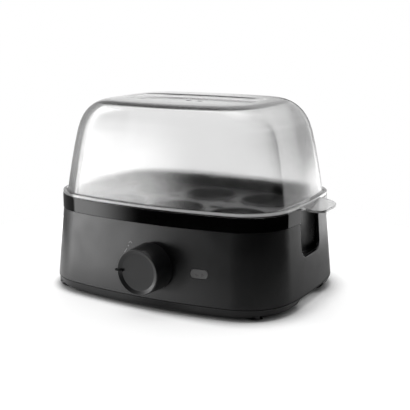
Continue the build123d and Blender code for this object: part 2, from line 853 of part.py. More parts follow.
with BuildPart() as indicator_board:
    with BuildSketch(board_plane):
        with Locations((lens_x, lens_z)):
            Rectangle(board_width, board_height)
            with GridLocations(board_screw_spacing, 0, 2, 1):
                Circle(small_screw / 2 + screw_clearance, mode=Mode.SUBTRACT)
    extrude(amount=-board_thickness)

with BuildPart() as indicator_lamp:
    with BuildSketch(board_plane):
        with Locations((lens_x, lens_z)):
            Circle(lamp_diameter / 2)
    extrude(amount=lamp_length)
    fillet(indicator_lamp.faces().sort_by(Axis.Y)[0].edges(), lamp_diameter * 0.35)

# Bottom cover: a dished floor with a rounded skirt, arched under each end, and its feet
foot_spots = [(side_x * foot_x, side_y * foot_y) for side_x in (-1, 1) for side_y in (-1, 1)]

with BuildPart() as bottom_cover:
    extrude(plan(skirt_z, foot_size), amount=seam_z - seam_gap - skirt_z)
    fillet(bottom_cover.faces().sort_by(Axis.Z)[0].edges(), skirt_round)
    extrude(plan(skirt_z, foot_size, skirt_width), amount=floor_z - skirt_z, mode=Mode.SUBTRACT)
    extrude(plan(cover_top_z, foot_size, wall), amount=seam_z, mode=Mode.SUBTRACT)
    lip_edges = (wall + lip_clearance, wall + lip_clearance + lip_width)
    extrude(plan(cover_top_z, foot_size, *lip_edges), amount=seam_z + lip_height - cover_top_z)
    with BuildSketch(Plane.YZ) as arch:
        Rectangle(2 * arch_half_width, 2 * arch_z)
        fillet(arch.vertices(), arch_corner)
    extrude(amount=body_width, both=True, mode=Mode.SUBTRACT)
    with BuildSketch(Plane.XY.offset(floor_z)):
        with post_spots:
            Circle(screw_diameter / 2 + screw_clearance)
        with GridLocations(0, vent_slot_pitch, 1, vent_slot_rows):
            SlotOverall(vent_slot_length, vent_slot_width)
    extrude(amount=floor_thickness, mode=Mode.SUBTRACT)
    with BuildSketch(Plane.XY.offset(floor_z)):
        with Locations(*foot_spots):
            Circle(foot_diameter / 2)
    extrude(amount=foot_recess, mode=Mode.SUBTRACT)

with BuildPart() as foot:
    with BuildSketch(Plane.XY):
        Circle(foot_diameter / 2)
    extrude(amount=floor_z + foot_recess)
    fillet(foot.faces().sort_by(Axis.Z)[0].edges(), foot_round)

# Mains entry: a bushing through the back wall, and the terminal block inside
with BuildPart() as cord_gland:
    with BuildSketch(gland_plane):
        Circle(gland_flange / 2)
    extrude(amount=gland_flange_thickness)
    fillet(cord_gland.faces().sort_by(Axis.Y)[-1].edges(), gland_flange_thickness * 0.6)
    with BuildSketch(gland_plane):
        Circle(gland_neck / 2)
    extrude(amount=-wall - gland_lock_gap - gland_lock_thickness)
    with BuildSketch(gland_plane.offset(-wall - gland_lock_gap)):
        Circle(gland_lock / 2)
    extrude(amount=-gland_lock_thickness)
    with BuildSketch(gland_plane.offset(gland_flange_thickness)):
        Circle(gland_bore / 2)
    extrude(amount=-2 * gland_neck, mode=Mode.SUBTRACT)

with BuildPart() as terminal_block:
    with BuildSketch(Plane.XY.offset(cover_top_z)):
        with Locations((gland_x, block_y)):
            RectangleRounded(block_width, block_depth, block_corner)
    extrude(amount=block_height)
    with BuildSketch(Plane.XZ.offset(-block_y - block_depth / 2)):
        with Locations((gland_x, cover_top_z + block_height / 2)):
            with GridLocations(block_way_pitch, 0, 2, 1):
                Circle(block_way_diameter / 2)
    extrude(amount=block_depth, mode=Mode.SUBTRACT)

# Screws
cover_screw = screw(screw_diameter, cover_screw_length, screw_head, screw_head_height)
collar_screw = screw(screw_diameter, collar_screw_length, collar_head, screw_head_height)
small = screw(small_screw, small_screw_length, small_head, small_head_height)
heater_screw = screw(small_screw, heater_screw_length, small_head, small_head_height)

with BuildPart() as cover_screws:
    with Locations(Plane.XY.offset(floor_z)):
        with GridLocations(2 * post_x, 2 * post_y, 2, 2):
            add(cover_screw)

with BuildPart() as band_screws:
    with Locations(Plane.XY.offset(ledge_z - ledge_thickness)):
        with GridLocations(2 * collar_screw_x, 2 * collar_screw_y, 2, 2):
            add(collar_screw)

with BuildPart() as heater_screws:
    with Locations(Plane.XY.offset(bracket_z - bracket_thickness)):
        with GridLocations(2 * bracket_screw_x, 0, 2, 1):
            add(heater_screw)
    with Locations(Plane.XY.offset(heater_z - clip_thickness)):
        with Locations((0, clip_screw_y)):
            add(heater_screw)

with BuildPart() as timer_screws:
    with Locations(front_plane(timer_y + timer_ear_thickness)):
        with GridLocations(timer_screw_spacing, 0, 2, 1):
            add(small)

with BuildPart() as board_screws:
    with Locations(front_plane(board_y + board_thickness)):
        with Locations((lens_x - knob_x, lens_z - knob_z)):
            with GridLocations(board_screw_spacing, 0, 2, 1):
                add(small)

pieces = {
    "housing": housing,
    "gloss_band": gloss_band,
    "water_bowl": water_bowl,
    "bowl_seal": bowl_seal,
    "egg_tray": egg_tray,
    "lid": lid,
    "heater_plate": heater_plate,
    "heating_element": heating_element,
    "element_pins": element_pins,
    "heater_nuts": heater_nuts,
    "thermostat": thermostat,
    "thermostat_bracket": thermostat_bracket,
    "thermal_fuse": thermal_fuse,
    "fuse_clip": fuse_clip,
    "heater_screws": heater_screws,
    "timer_body": timer_body,
    "timer_screws": timer_screws,
    "timer_shaft": timer_shaft,
    "knob": knob,
    "knob_pointer": knob_pointer,
    "indicator_lens": indicator_lens,
    "indicator_lamp": indicator_lamp,
    "indicator_board": indicator_board,
    "board_screws": board_screws,
    "bottom_cover": bottom_cover,
    "cover_screws": cover_screws,
    "band_screws": band_screws,
    "cord_gland": cord_gland,
    "terminal_block": terminal_block,
}
for name, piece in pieces.items():
    piece.part.label = name
    export_step(piece.part, f"parts/{name}.step")

foot_names = ("rear_left", "front_left", "rear_right", "front_right")
for name, (x, y) in zip(foot_names, foot_spots):
    rubber_foot = foot.part.moved(Location((x, y, 0)))
    rubber_foot.label = f"foot_{name}"
    export_step(rubber_foot, f"parts/foot_{name}.step")
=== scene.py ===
# %% [markdown]
# # Electric egg cooker, dressed over its CAD frame
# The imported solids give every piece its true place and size. This lesson loads them, sets up the
# camera and a plain photo studio, then gives each piece the finish of the real one. Pieces whose
# shape shows up close are modelled again with ordinary mesh tools, and they stand in for the solid.

# %% Load the frame and keep its box
from math import cos, pi, radians, sin

import bmesh
import bpy
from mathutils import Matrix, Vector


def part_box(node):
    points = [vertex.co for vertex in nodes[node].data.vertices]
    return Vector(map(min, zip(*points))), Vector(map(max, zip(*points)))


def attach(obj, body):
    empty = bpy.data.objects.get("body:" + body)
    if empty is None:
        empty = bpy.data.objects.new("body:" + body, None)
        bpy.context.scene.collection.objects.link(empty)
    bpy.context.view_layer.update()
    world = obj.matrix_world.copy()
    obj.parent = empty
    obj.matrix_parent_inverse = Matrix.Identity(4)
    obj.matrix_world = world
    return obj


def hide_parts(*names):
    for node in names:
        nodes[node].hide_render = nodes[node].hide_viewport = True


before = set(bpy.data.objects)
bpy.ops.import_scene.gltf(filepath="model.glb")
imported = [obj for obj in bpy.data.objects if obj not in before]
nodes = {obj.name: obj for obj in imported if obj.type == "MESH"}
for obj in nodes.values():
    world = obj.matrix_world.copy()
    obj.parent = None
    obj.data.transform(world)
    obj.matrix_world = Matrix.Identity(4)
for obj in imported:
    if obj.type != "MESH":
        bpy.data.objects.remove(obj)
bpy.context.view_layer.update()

MM = 0.001
scene = bpy.context.scene
bpy.ops.object.select_all(action="DESELECT")

# %% [markdown]
# The photo was taken from the front right, a little above the worktop. A level camera turned 28.9
# degrees round to the right and raised 12.5 degrees gives the same view: the knob, the right-hand
# finger recess and the near flat top of the lid all fall where they do in the photo.

# %% Camera
AZIMUTH, ELEVATION = radians(28.869), radians(12.540)
CAMERA_PLACE = (0.292304, -0.514820, 0.187817)
FILM_WIDTH, LENS = 36.0, 74.341
camera_data = bpy.data.cameras.new("camera")
camera_data.sensor_width = FILM_WIDTH
camera_data.lens = LENS
camera_data.clip_start = 10 * MM
camera_data.dof.use_dof = False
camera = bpy.data.objects.new("camera", camera_data)
camera.location = CAMERA_PLACE
camera.rotation_euler = (pi / 2 - ELEVATION, 0, AZIMUTH)
scene.collection.objects.link(camera)
scene.camera = camera
print("camera distance:", round(camera.location.length, 3), "m")

# %% [markdown]
# Black gloss plastic shows little but what it mirrors, so the studio matters more than the colour.
# The reflections on the band and the lid tell where the light stood. Area lamps would do, but they
# have hard edges in a mirror. A world that is bright in soft-edged windows of direction has not, so
# here every light is such a window. The first step is a pair of numbers for each ray: its turn
# round the upright axis, and its climb above the level, both in degrees.

# %% Studio: the direction of each ray
DEGREES = 180 / pi
world = bpy.data.worlds.new("studio")
world.use_nodes = True
scene.world = world
scene.view_settings.view_transform = "Standard"
sky = world.node_tree
sky.nodes.clear()


def math_node(tree, operation, first, second=None):
    """One Math node; each input is a socket or a number."""
    node = tree.nodes.new("ShaderNodeMath")
    node.operation = operation
    for socket, value in zip(node.inputs, (first, second)):
        if isinstance(value, (int, float)):
            socket.default_value = value
        elif value is not None:
            tree.links.new(value, socket)
    return node.outputs[0]


ray = sky.nodes.new("ShaderNodeTexCoord")
ray_parts = sky.nodes.new("ShaderNodeSeparateXYZ")
sky.links.new(ray.outputs["Generated"], ray_parts.inputs[0])
turn = math_node(sky, "ARCTAN2", ray_parts.outputs["Y"], ray_parts.outputs["X"])
turn = math_node(sky, "MULTIPLY", turn, DEGREES)
climb = math_node(sky, "ARCSINE", ray_parts.outputs["Z"])
climb = math_node(sky, "MULTIPLY", climb, DEGREES)
print("turn runs from -90 at the front over 0 at the right to 90 at the back")

# %% [markdown]
# A window is made of soft steps, one for each of its sides, multiplied together. Three small
# helpers keep that readable: a step that eases from one value to another, a product and a sum.


# %% Studio: soft steps, products and sums
def ease(tree, value, span, to_low=0.0, to_high=1.0):
    """A soft step: to_low before the span of two numbers, to_high after it, smooth between."""
    node = tree.nodes.new("ShaderNodeMapRange")
    node.interpolation_type = "SMOOTHSTEP"
    for name, number in zip(("From Min", "From Max", "To Min", "To Max"), (*span, to_low, to_high)):
        node.inputs[name].default_value = number
    tree.links.new(value, node.inputs["Value"])
    return node.outputs["Result"]


def product(tree, first, *others):
    """All of these sockets and numbers, multiplied."""
    for other in others:
        first = math_node(tree, "MULTIPLY", first, other)
    return first


def total(tree, first, *others):
    """All of these sockets and numbers, added."""
    for other in others:
        first = math_node(tree, "ADD", first, other)
    return first


def around(middle_angle, half_width, softness):
    """The two angles between which a window's edge fades, on either side of its half width."""
    return middle_angle + half_width - softness, middle_angle + half_width + softness


print("world nodes so far:", len(sky.nodes))

# %% [markdown]
# A wide white sheet stood behind the cooker. It is what the clear lid shows, right through its two
# walls. A small dark flag in front of it, behind the lid's right shoulder, draws the edge of the
# lid there. A sheet could be a real plane in the scene, but as a window of the world it casts no
# shadow and stays out of the camera's way.

# %% The white sheet behind, and its flag
SHEET_TURN, SHEET_HALF_WIDTH, SHEET_SOFTNESS = 90, 43, 1.5
FLAG_TURN, FLAG_CLIMB, FLAG_SPAN = 106.5, -0.5, (5.0, 13.0)

from_back = math_node(sky, "ABSOLUTE", math_node(sky, "SUBTRACT", turn, SHEET_TURN))
back_sheet = ease(sky, from_back, around(0, SHEET_HALF_WIDTH, SHEET_SOFTNESS), 1.0, 0.0)
flag_across = math_node(sky, "SUBTRACT", turn, FLAG_TURN)
flag_up = math_node(sky, "SUBTRACT", climb, FLAG_CLIMB)
flag_reach = total(sky, product(sky, flag_across, flag_across), product(sky, flag_up, flag_up))
flag_reach = math_node(sky, "SQRT", flag_reach)
back_sheet = product(sky, back_sheet, ease(sky, flag_reach, FLAG_SPAN))
print("sheet spans", 2 * SHEET_HALF_WIDTH, "degrees behind the cooker")

# %% [markdown]
# The key light was a large soft panel at the front left. Both of its sides slant, as the streaks on
# the gloss band do, so its left and right edges move with the climb. It is strongest near the level
# and weaker above, or the lid's front wall would be washed out.

# %% The big panel at the front left
PANEL_STRENGTH, PANEL_FOOT_SHARE, PANEL_FOOT = 5.0, 0.62, (-16, 2)
PANEL_TOP = (34, 44)
RIGHT_SIDE, RIGHT_SLANT, RIGHT_FADE = (-131, -112.5), (-12, 0), (-12, 6)
LEFT_SIDE, LEFT_SLANT, LEFT_FADE = (-154, -168), (-12, -2), (-4, 4)
LOWER_BAND, LOWER_SHARE = (0, 5), 0.55
UPPER_BAND, UPPER_SHARE = (5, 12), 0.1
FAR_LEFT, FAR_LEFT_SHARE = (-152, -143), 0.7
BOOST_TURN, BOOST_LEFT, BOOST_RIGHT, BOOST_CLIMB = (-150, -118), 0.5, 0.08, (-12, -6)

past_right = math_node(sky, "SUBTRACT", turn, ease(sky, climb, RIGHT_SLANT, *RIGHT_SIDE))
past_left = math_node(sky, "SUBTRACT", turn, ease(sky, climb, LEFT_SLANT, *LEFT_SIDE))
window = product(sky, ease(sky, past_right, RIGHT_FADE, 1.0, 0.0), ease(sky, past_left, LEFT_FADE),
                 ease(sky, climb, PANEL_TOP, 1.0, 0.0))
level = ease(sky, climb, PANEL_FOOT, PANEL_FOOT_SHARE * PANEL_STRENGTH, PANEL_STRENGTH)
upward = product(sky, ease(sky, climb, LOWER_BAND, 1.0, LOWER_SHARE),
                 ease(sky, climb, UPPER_BAND, 1.0, UPPER_SHARE))
upward = math_node(sky, "MAXIMUM", upward, ease(sky, turn, FAR_LEFT, FAR_LEFT_SHARE, 0.0))
boost = product(sky, ease(sky, turn, BOOST_TURN, BOOST_LEFT, BOOST_RIGHT), ease(sky, climb, BOOST_CLIMB))
panel = product(sky, window, level, upward, total(sky, boost, 1.0))
print("panel strength:", PANEL_STRENGTH)

# %% [markdown]
# Four weaker lights fill in the rest. A low kicker at the right rear lifts the end wall, a pale
# wall closes the left side between the panel and the sheet, a panel hangs overhead, and the upper
# part of the room gives a little fill. Nothing stands at the front right, which is why the middle
# of the band is pure black.

# %% Kicker, side wall, top panel and fill
KICKER_STRENGTH, KICKER_START, KICKER_END, KICKER_TOP = 1.6, (63, 73), (86, 94), (-6, -1)
SIDE_STRENGTH, SIDE_SOFTNESS, SHEET_GAP = 1.0, 4, 3
SIDE_RISE, SIDE_LOW, SIDE_HIGH = (-11, -6), 0.2, 0.5
TOP_STRENGTH, TOP_EDGE = 1.2, (58, 72)
FILL_STRENGTH, FILL_EDGE = 0.3, (18, 36)
ROOM_STRENGTH = 0.006

kicker = product(sky, ease(sky, turn, KICKER_START), ease(sky, turn, KICKER_END, KICKER_STRENGTH, 0.0),
                 ease(sky, climb, KICKER_TOP, 1.0, 0.0))
sheet_end = SHEET_TURN + SHEET_HALF_WIDTH
side_wall = total(sky, ease(sky, turn, around(LEFT_SIDE[0], 0, SIDE_SOFTNESS), SIDE_STRENGTH, 0.0),
                  ease(sky, turn, (sheet_end, sheet_end + SHEET_GAP), 0.0, SIDE_STRENGTH))
side_wall = product(sky, side_wall, ease(sky, climb, SIDE_RISE, SIDE_LOW, SIDE_HIGH))
top_panel = ease(sky, climb, TOP_EDGE, 0.0, TOP_STRENGTH)
fill = ease(sky, climb, FILL_EDGE, 0.0, FILL_STRENGTH)
studio_light = total(sky, back_sheet, panel, top_panel, ROOM_STRENGTH, side_wall, kicker, fill)
print("world nodes so far:", len(sky.nodes))

# %% [markdown]
# Two exceptions are read from the Light Path node. Seen straight through the clear lid, the front
# of the room is pale as well, or the far wall of the lid would look black. And the camera itself
# sees plain white all round, as on a product page.

# %% What the camera and the clear lid see
SEE_THROUGH, FRONT_EDGE = 0.5, (75, 90)

path = sky.nodes.new("ShaderNodeLightPath")
front_room = ease(sky, from_back, FRONT_EDGE, 0.0, SEE_THROUGH)
studio_light = total(sky, studio_light, product(sky, path.outputs["Is Transmission Ray"], front_room))
seen = sky.nodes.new("ShaderNodeMix")
seen.data_type = "FLOAT"
seen_factor, seen_studio, seen_white = seen.inputs[0], seen.inputs[2], seen.inputs[3]
sky.links.new(path.outputs["Is Camera Ray"], seen_factor)
sky.links.new(studio_light, seen_studio)
seen_white.default_value = 1.0
background = sky.nodes.new("ShaderNodeBackground")
background.inputs["Color"].default_value = (1, 1, 1, 1)
sky.links.new(seen.outputs[0], background.inputs["Strength"])
world_output = sky.nodes.new("ShaderNodeOutputWorld")
sky.links.new(background.outputs[0], world_output.inputs["Surface"])
print("world nodes:", len(sky.nodes))

# %% [markdown]
# The worktop is one pale round sheet. It is wide enough to catch the cooker's contact shadow and
# small enough to fade into the white around it. It lies a hair below the feet, so that the two
# faces never share a plane.

# %% Floor
FLOOR_RADIUS, FLOOR_LEVEL, FLOOR_SIDES = 0.245, -0.0002, 128
bpy.ops.mesh.primitive_circle_add(vertices=FLOOR_SIDES, radius=FLOOR_RADIUS, fill_type="NGON",
                                  location=(0, 0, FLOOR_LEVEL))
floor = bpy.context.active_object
floor.name = "floor"
print("floor sheet laid, radius", FLOOR_RADIUS, "m")

# %% [markdown]
# Every finish is a small node tree. One helper starts a material with its fixed numbers set on the
# shader's own sockets, another lays a noise pattern on Object coordinates, and the rest turn such
# a pattern into patchy sheen and fine relief, because real moulded plastic is never perfectly even.
# A picture of a surface would do the same, but it has one scale and needs unwrapping.

# %% Material helpers
NOISE_DETAIL = 4.0


def start_material(name, color, roughness, metallic=0.0, specular=0.5):
    """A new material with its main shader, whose fixed numbers are set on its own sockets."""
    material = bpy.data.materials.new(name)
    material.use_nodes = True
    shader = material.node_tree.nodes["Principled BSDF"]
    shader.inputs["Base Color"].default_value = (*color, 1)
    shader.inputs["Roughness"].default_value = roughness
    shader.inputs["Metallic"].default_value = metallic
    shader.inputs["Specular IOR Level"].default_value = specular
    return material, material.node_tree, shader


def noise(tree, scale):
    """A noise pattern on Object coordinates; scale is in cycles per metre."""
    coordinates = tree.nodes.new("ShaderNodeTexCoord")
    pattern = tree.nodes.new("ShaderNodeTexNoise")
    pattern.inputs["Scale"].default_value = scale
    pattern.inputs["Detail"].default_value = NOISE_DETAIL
    tree.links.new(coordinates.outputs["Object"], pattern.inputs["Vector"])
    return pattern.outputs["Fac"]


def spread(tree, source, low, high, source_span=(0.3, 0.7)):
    """Maps a pattern onto the range from low to high; a noise keeps mostly within its span."""
    ramp = tree.nodes.new("ShaderNodeMapRange")
    for name, number in zip(("From Min", "From Max", "To Min", "To Max"), (*source_span, low, high)):
        ramp.inputs[name].default_value = number
    tree.links.new(source, ramp.inputs["Value"])
    return ramp.outputs["Result"]


def grain(tree, shader, scale, depth):
    """Fine relief, depth metres high, as bump."""
    bump = tree.nodes.new("ShaderNodeBump")
    bump.inputs["Distance"].default_value = depth
    tree.links.new(noise(tree, scale), bump.inputs["Height"])
    tree.links.new(bump.outputs["Normal"], shader.inputs["Normal"])


def patchy_sheen(tree, shader, scale, low, high):
    """Roughness that wanders between two values in soft patches."""
    tree.links.new(spread(tree, noise(tree, scale), low, high), shader.inputs["Roughness"])


print("material helpers ready")

# %% [markdown]
# The real cooker has two kinds of opaque surface. Moulded plastic has an even colour, a slightly
# patchy sheen and a fine grain from the mould. Bare or plated metal inside has handling marks in
# its sheen. Each kind is one function, so that a finish is then a single line.

# %% Moulded plastic and metal
PATCH_SCALE, METAL_PATCH_SCALE, METAL_GRAIN_SCALE = 60, 120, 900
GRAIN_DEPTH, METAL_VARIATION = 0.00002, 0.08


def plastic(name, color, roughness, vary=0.05, grain_scale=3000, grain_depth=GRAIN_DEPTH, specular=0.5):
    """Moulded plastic: even colour, slightly patchy sheen and a fine surface grain."""
    material, tree, shader = start_material(name, color, roughness, specular=specular)
    patchy_sheen(tree, shader, PATCH_SCALE, roughness - vary, roughness + vary)
    grain(tree, shader, grain_scale, grain_depth)
    return material


def metal(name, color, roughness):
    """Bare or plated metal with handling marks in its sheen."""
    material, tree, shader = start_material(name, color, roughness, metallic=1.0)
    patchy_sheen(tree, shader, METAL_PATCH_SCALE, roughness - METAL_VARIATION, roughness + METAL_VARIATION)
    grain(tree, shader, METAL_GRAIN_SCALE, GRAIN_DEPTH)
    return material


matte_black = plastic("matte_black", (0.005, 0.005, 0.0055), 0.34)
gloss_black = plastic("gloss_black", (0.001, 0.001, 0.0011), 0.06, vary=0.02, grain_scale=400,
                      grain_depth=0.000002)
recess_black = plastic("recess_black", (0.001, 0.001, 0.0011), 0.3)
tray_black = plastic("tray_black", (0.006, 0.006, 0.0065), 0.42)
knob_black = plastic("knob_black", (0.005, 0.005, 0.0055), 0.33, specular=0.4)
ink_black = plastic("ink_black", (0.0005, 0.0005, 0.0005), 0.6, specular=0.1)
grey_ink = plastic("grey_ink", (0.22, 0.22, 0.22), 0.5)
lens_smoke = plastic("lens_smoke", (0.12, 0.12, 0.12), 0.3)
rubber = plastic("soft_rubber", (0.02, 0.02, 0.02), 0.75)
print("outer finishes:", len(bpy.data.materials))

# %% [markdown]
# The pieces inside have plainer finishes: a dark colour on the bowl, nylon, silicone and thermoset
# where heat or current must be held back, and bare metal where it is led on. They come from the
# same two functions, so the plastics inside have the same fine grain as those outside.

# %% Finishes of the pieces inside
# The bowl is given a plain dark colour.
pan_dark = plastic("dark_bowl", (0.01, 0.01, 0.011), 0.35)
white_nylon = plastic("white_nylon", (0.8, 0.8, 0.78), 0.5)
cream_nylon = plastic("cream_nylon", (0.7, 0.67, 0.58), 0.5)
lamp_red = plastic("lamp_red", (0.25, 0.02, 0.015), 0.25)
silicone = plastic("silicone", (0.75, 0.74, 0.7), 0.6)
board_green = plastic("board_green", (0.02, 0.16, 0.07), 0.35)
thermoset_brown = plastic("thermoset_brown", (0.09, 0.045, 0.025), 0.5)
pressed_steel = metal("pressed_steel", (0.62, 0.61, 0.59), 0.28)
cast_aluminium = metal("cast_aluminium", (0.62, 0.62, 0.63), 0.45)
print("finishes so far:", len(bpy.data.materials))

# %% [markdown]
# The lid is clear plastic with a slight haze. A glass finish would look too clean, so the light
# passes through a slightly rough surface with a faint gloss coat on top. Where a wall is seen edge
# on, a Layer Weight node darkens its colour: painted shade for the grey of edge-on walls. The raised
# bead along the flange gets a touch of emission on its faces: a painted highlight, since it gives no light.

# %% Clear plastic
# The edge-on tone is painted shade: the grey that the lid's colour takes where a wall is seen edge on.
CLEAR_TONE, EDGE_ON_SHADE, EDGE_ON_SPAN, EDGE_ON_BLEND = 0.93, 0.3, (0.3, 0.9), 0.5
HAZE, HAZE_LOW, HAZE_HIGH, HAZE_SCALE = 0.1, 0.08, 0.12, 90
PLASTIC_IOR, COAT, COAT_ROUGHNESS = 1.49, 0.15, 0.03
# The bead's glow is a painted highlight, given as emission strength.
RIPPLE_SCALE, RIPPLE_DEPTH, BEAD_PAINTED_GLOW = 150, 0.000002, 0.24


def clear_plastic(name, painted_glow=0.0):
    """Clear moulded plastic: a touch hazy, glossy on top, with painted shade where it is seen edge on and
    an optional painted highlight as emission.
    """
    material, tree, shader = start_material(name, (CLEAR_TONE,) * 3, HAZE)
    shader.inputs["Transmission Weight"].default_value = 1.0
    shader.inputs["IOR"].default_value = PLASTIC_IOR
    shader.inputs["Coat Weight"].default_value = COAT
    shader.inputs["Coat Roughness"].default_value = COAT_ROUGHNESS
    # The emission is a painted highlight; the plastic gives no light.
    shader.inputs["Emission Color"].default_value = (1, 1, 1, 1)
    shader.inputs["Emission Strength"].default_value = painted_glow
    # Painted shade: the Layer Weight node darkens the colour where the wall is seen edge on.
    edge_on = tree.nodes.new("ShaderNodeLayerWeight")
    edge_on.inputs["Blend"].default_value = EDGE_ON_BLEND
    edge_shade = tree.nodes.new("ShaderNodeMix")
    edge_shade.data_type = "RGBA"
    facing_tone, grazing_shade = edge_shade.inputs[6], edge_shade.inputs[7]
    facing_tone.default_value = (*(CLEAR_TONE,) * 3, 1)
    grazing_shade.default_value = (*(EDGE_ON_SHADE,) * 3, 1)
    tree.links.new(spread(tree, edge_on.outputs["Facing"], 0.0, 1.0, EDGE_ON_SPAN), edge_shade.inputs["Factor"])
    tree.links.new(edge_shade.outputs[2], shader.inputs["Base Color"])
    patchy_sheen(tree, shader, HAZE_SCALE, HAZE_LOW, HAZE_HIGH)
    grain(tree, shader, RIPPLE_SCALE, RIPPLE_DEPTH)
    return material


clear = clear_plastic("clear_plastic")
# The rim finish glows: a painted highlight for the bead.
clear_rim_painted_glow = clear_plastic("clear_plastic_rim_painted_glow", painted_glow=BEAD_PAINTED_GLOW)
print("finishes so far:", len(bpy.data.materials))

# %% [markdown]
# The worktop is white, with only a soft painted contact shadow where the cooker stands. A plain
# lit sheet would turn grey in this studio, so it glows by itself, and an Ambient Occlusion node paints
# the shadow by taking the glow away close to the cooker. The light stood at the left, so the painted
# shadow is narrow there and wider at the right. The black walls mirror a bright worktop at the front
# left only. That glow is for mirrored rays alone, it fades out towards the right, and the same painted
# shadow dims it.

# %% Floor finish
FLOOR_TONE, FLOOR_ROUGHNESS, FLOOR_ROUGH_LOW, FLOOR_ROUGH_HIGH = 0.58, 0.6, 0.55, 0.65
FLOOR_PATCH_SCALE, FLOOR_GRAIN_SCALE = 40, 500
MIDDLE_GLOW, FULL_GLOW, GLOW_START = 0.6, 1.0, 0.15
# The painted contact shadow: how far the Ambient Occlusion reaches from left to right, and how much glow it
# leaves.
SHADOW_REACH_LEFT, SHADOW_REACH_RIGHT, SHADOW_REACH_SPAN = 0.010, 0.026, (0.0, 0.09)
SHADOW_DARKEST, SHADOW_OPEN, SHADOW_AO_STEP = 0.02, 1.0, (0.5, 0.86)
MIRRORED_GLOW, MIRRORED_SPAN = 0.6, (0.02, 0.08)

pale_floor, floor_tree, floor_shader = start_material("pale_floor", (FLOOR_TONE,) * 3, FLOOR_ROUGHNESS)
floor_shader.inputs["Emission Color"].default_value = (1, 1, 1, 1)
floor_place = floor_tree.nodes.new("ShaderNodeTexCoord")
floor_axes = floor_tree.nodes.new("ShaderNodeSeparateXYZ")
floor_tree.links.new(floor_place.outputs["Object"], floor_axes.inputs[0])
from_middle = floor_tree.nodes.new("ShaderNodeVectorMath")
from_middle.operation = "LENGTH"
floor_tree.links.new(floor_place.outputs["Object"], from_middle.inputs[0])


def painted_contact_shadow(distance):
    """How much of the glow is left near the cooker, as a painted contact shadow; distance is in metres, a
    number or a socket.
    """
    contact = floor_tree.nodes.new("ShaderNodeAmbientOcclusion")
    if isinstance(distance, float):
        contact.inputs["Distance"].default_value = distance
    else:
        floor_tree.links.new(distance, contact.inputs["Distance"])
    return spread(floor_tree, contact.outputs["AO"], SHADOW_DARKEST, SHADOW_OPEN, SHADOW_AO_STEP)


# Painted contact shadow: the Ambient Occlusion takes the glow away near the cooker, in both glows.
shadow_reach = spread(floor_tree, floor_axes.outputs["X"], SHADOW_REACH_LEFT, SHADOW_REACH_RIGHT, SHADOW_REACH_SPAN)
outward_glow = spread(floor_tree, from_middle.outputs["Value"], MIDDLE_GLOW, FULL_GLOW,
                      (GLOW_START, FLOOR_RADIUS))
leftward_glow = spread(floor_tree, floor_axes.outputs["X"], MIRRORED_GLOW, 0.0, MIRRORED_SPAN)
floor_path = floor_tree.nodes.new("ShaderNodeLightPath")
seen_directly = floor_path.outputs["Is Camera Ray"]
seen_mirrored = math_node(floor_tree, "SUBTRACT", 1.0, seen_directly)
direct_glow = product(floor_tree, outward_glow, painted_contact_shadow(shadow_reach), seen_directly)
mirrored_glow = product(floor_tree, leftward_glow, painted_contact_shadow(SHADOW_REACH_RIGHT), seen_mirrored)
floor_glow = total(floor_tree, direct_glow, mirrored_glow)
floor_tree.links.new(floor_glow, floor_shader.inputs["Emission Strength"])
patchy_sheen(floor_tree, floor_shader, FLOOR_PATCH_SCALE, FLOOR_ROUGH_LOW, FLOOR_ROUGH_HIGH)
grain(floor_tree, floor_shader, FLOOR_GRAIN_SCALE, GRAIN_DEPTH)
floor.data.materials.append(pale_floor)
print("floor finish nodes:", len(floor_tree.nodes))

# %% [markdown]
# Working by script is working in edit mode without a window. What a hand would click is picked in
# code instead, by place or by the way a face points. Three helpers do this for every piece below:
# one opens a piece, one picks in it, and one gives the middle of an edge.

# %% Opening a piece and picking in it
ON_AXIS, FACING = 1e-5, 0.9


def edit(piece):
    """Selects only this piece and opens it in edit mode."""
    if bpy.context.mode != "OBJECT":
        bpy.ops.object.mode_set(mode="OBJECT")
    bpy.ops.object.select_all(action="DESELECT")
    piece.select_set(True)
    bpy.context.view_layer.objects.active = piece
    bpy.ops.object.mode_set(mode="EDIT")


def pick(piece, kind, test):
    """In edit mode, selects only the vertices, edges or faces that pass this test."""
    bpy.ops.mesh.select_mode(type={"verts": "VERT", "edges": "EDGE", "faces": "FACE"}[kind])
    bpy.ops.mesh.select_all(action="DESELECT")
    mesh = bmesh.from_edit_mesh(piece.data)
    chosen = [part for part in getattr(mesh, kind) if test(part)]
    for part in chosen:
        part.select_set(True)
    mesh.select_flush_mode()
    bmesh.update_edit_mesh(piece.data)
    return len(chosen)


def middle(edge):
    """The point half way along an edge."""
    return (edge.verts[0].co + edge.verts[1].co) / 2


print("picking helpers ready")

# %% [markdown]
# Every level of the lid and the base has one plan outline: a rectangle whose sides bow out a little
# and whose corners are well rounded. By hand it starts as a plane the size of the corner points.
# Its four corners are bevelled, its long edges are cut into short ones, and the points between are
# moved out onto the bow. Another helper grows a wall from that loop, ring by ring.

# %% The plan outline as a loop of edges
FRONT_BOW, SIDE_BOW, CORNER = 0.156, 0.056, 0.345
FRONT_CUTS, SIDE_CUTS, CORNER_CUTS = 21, 17, 12


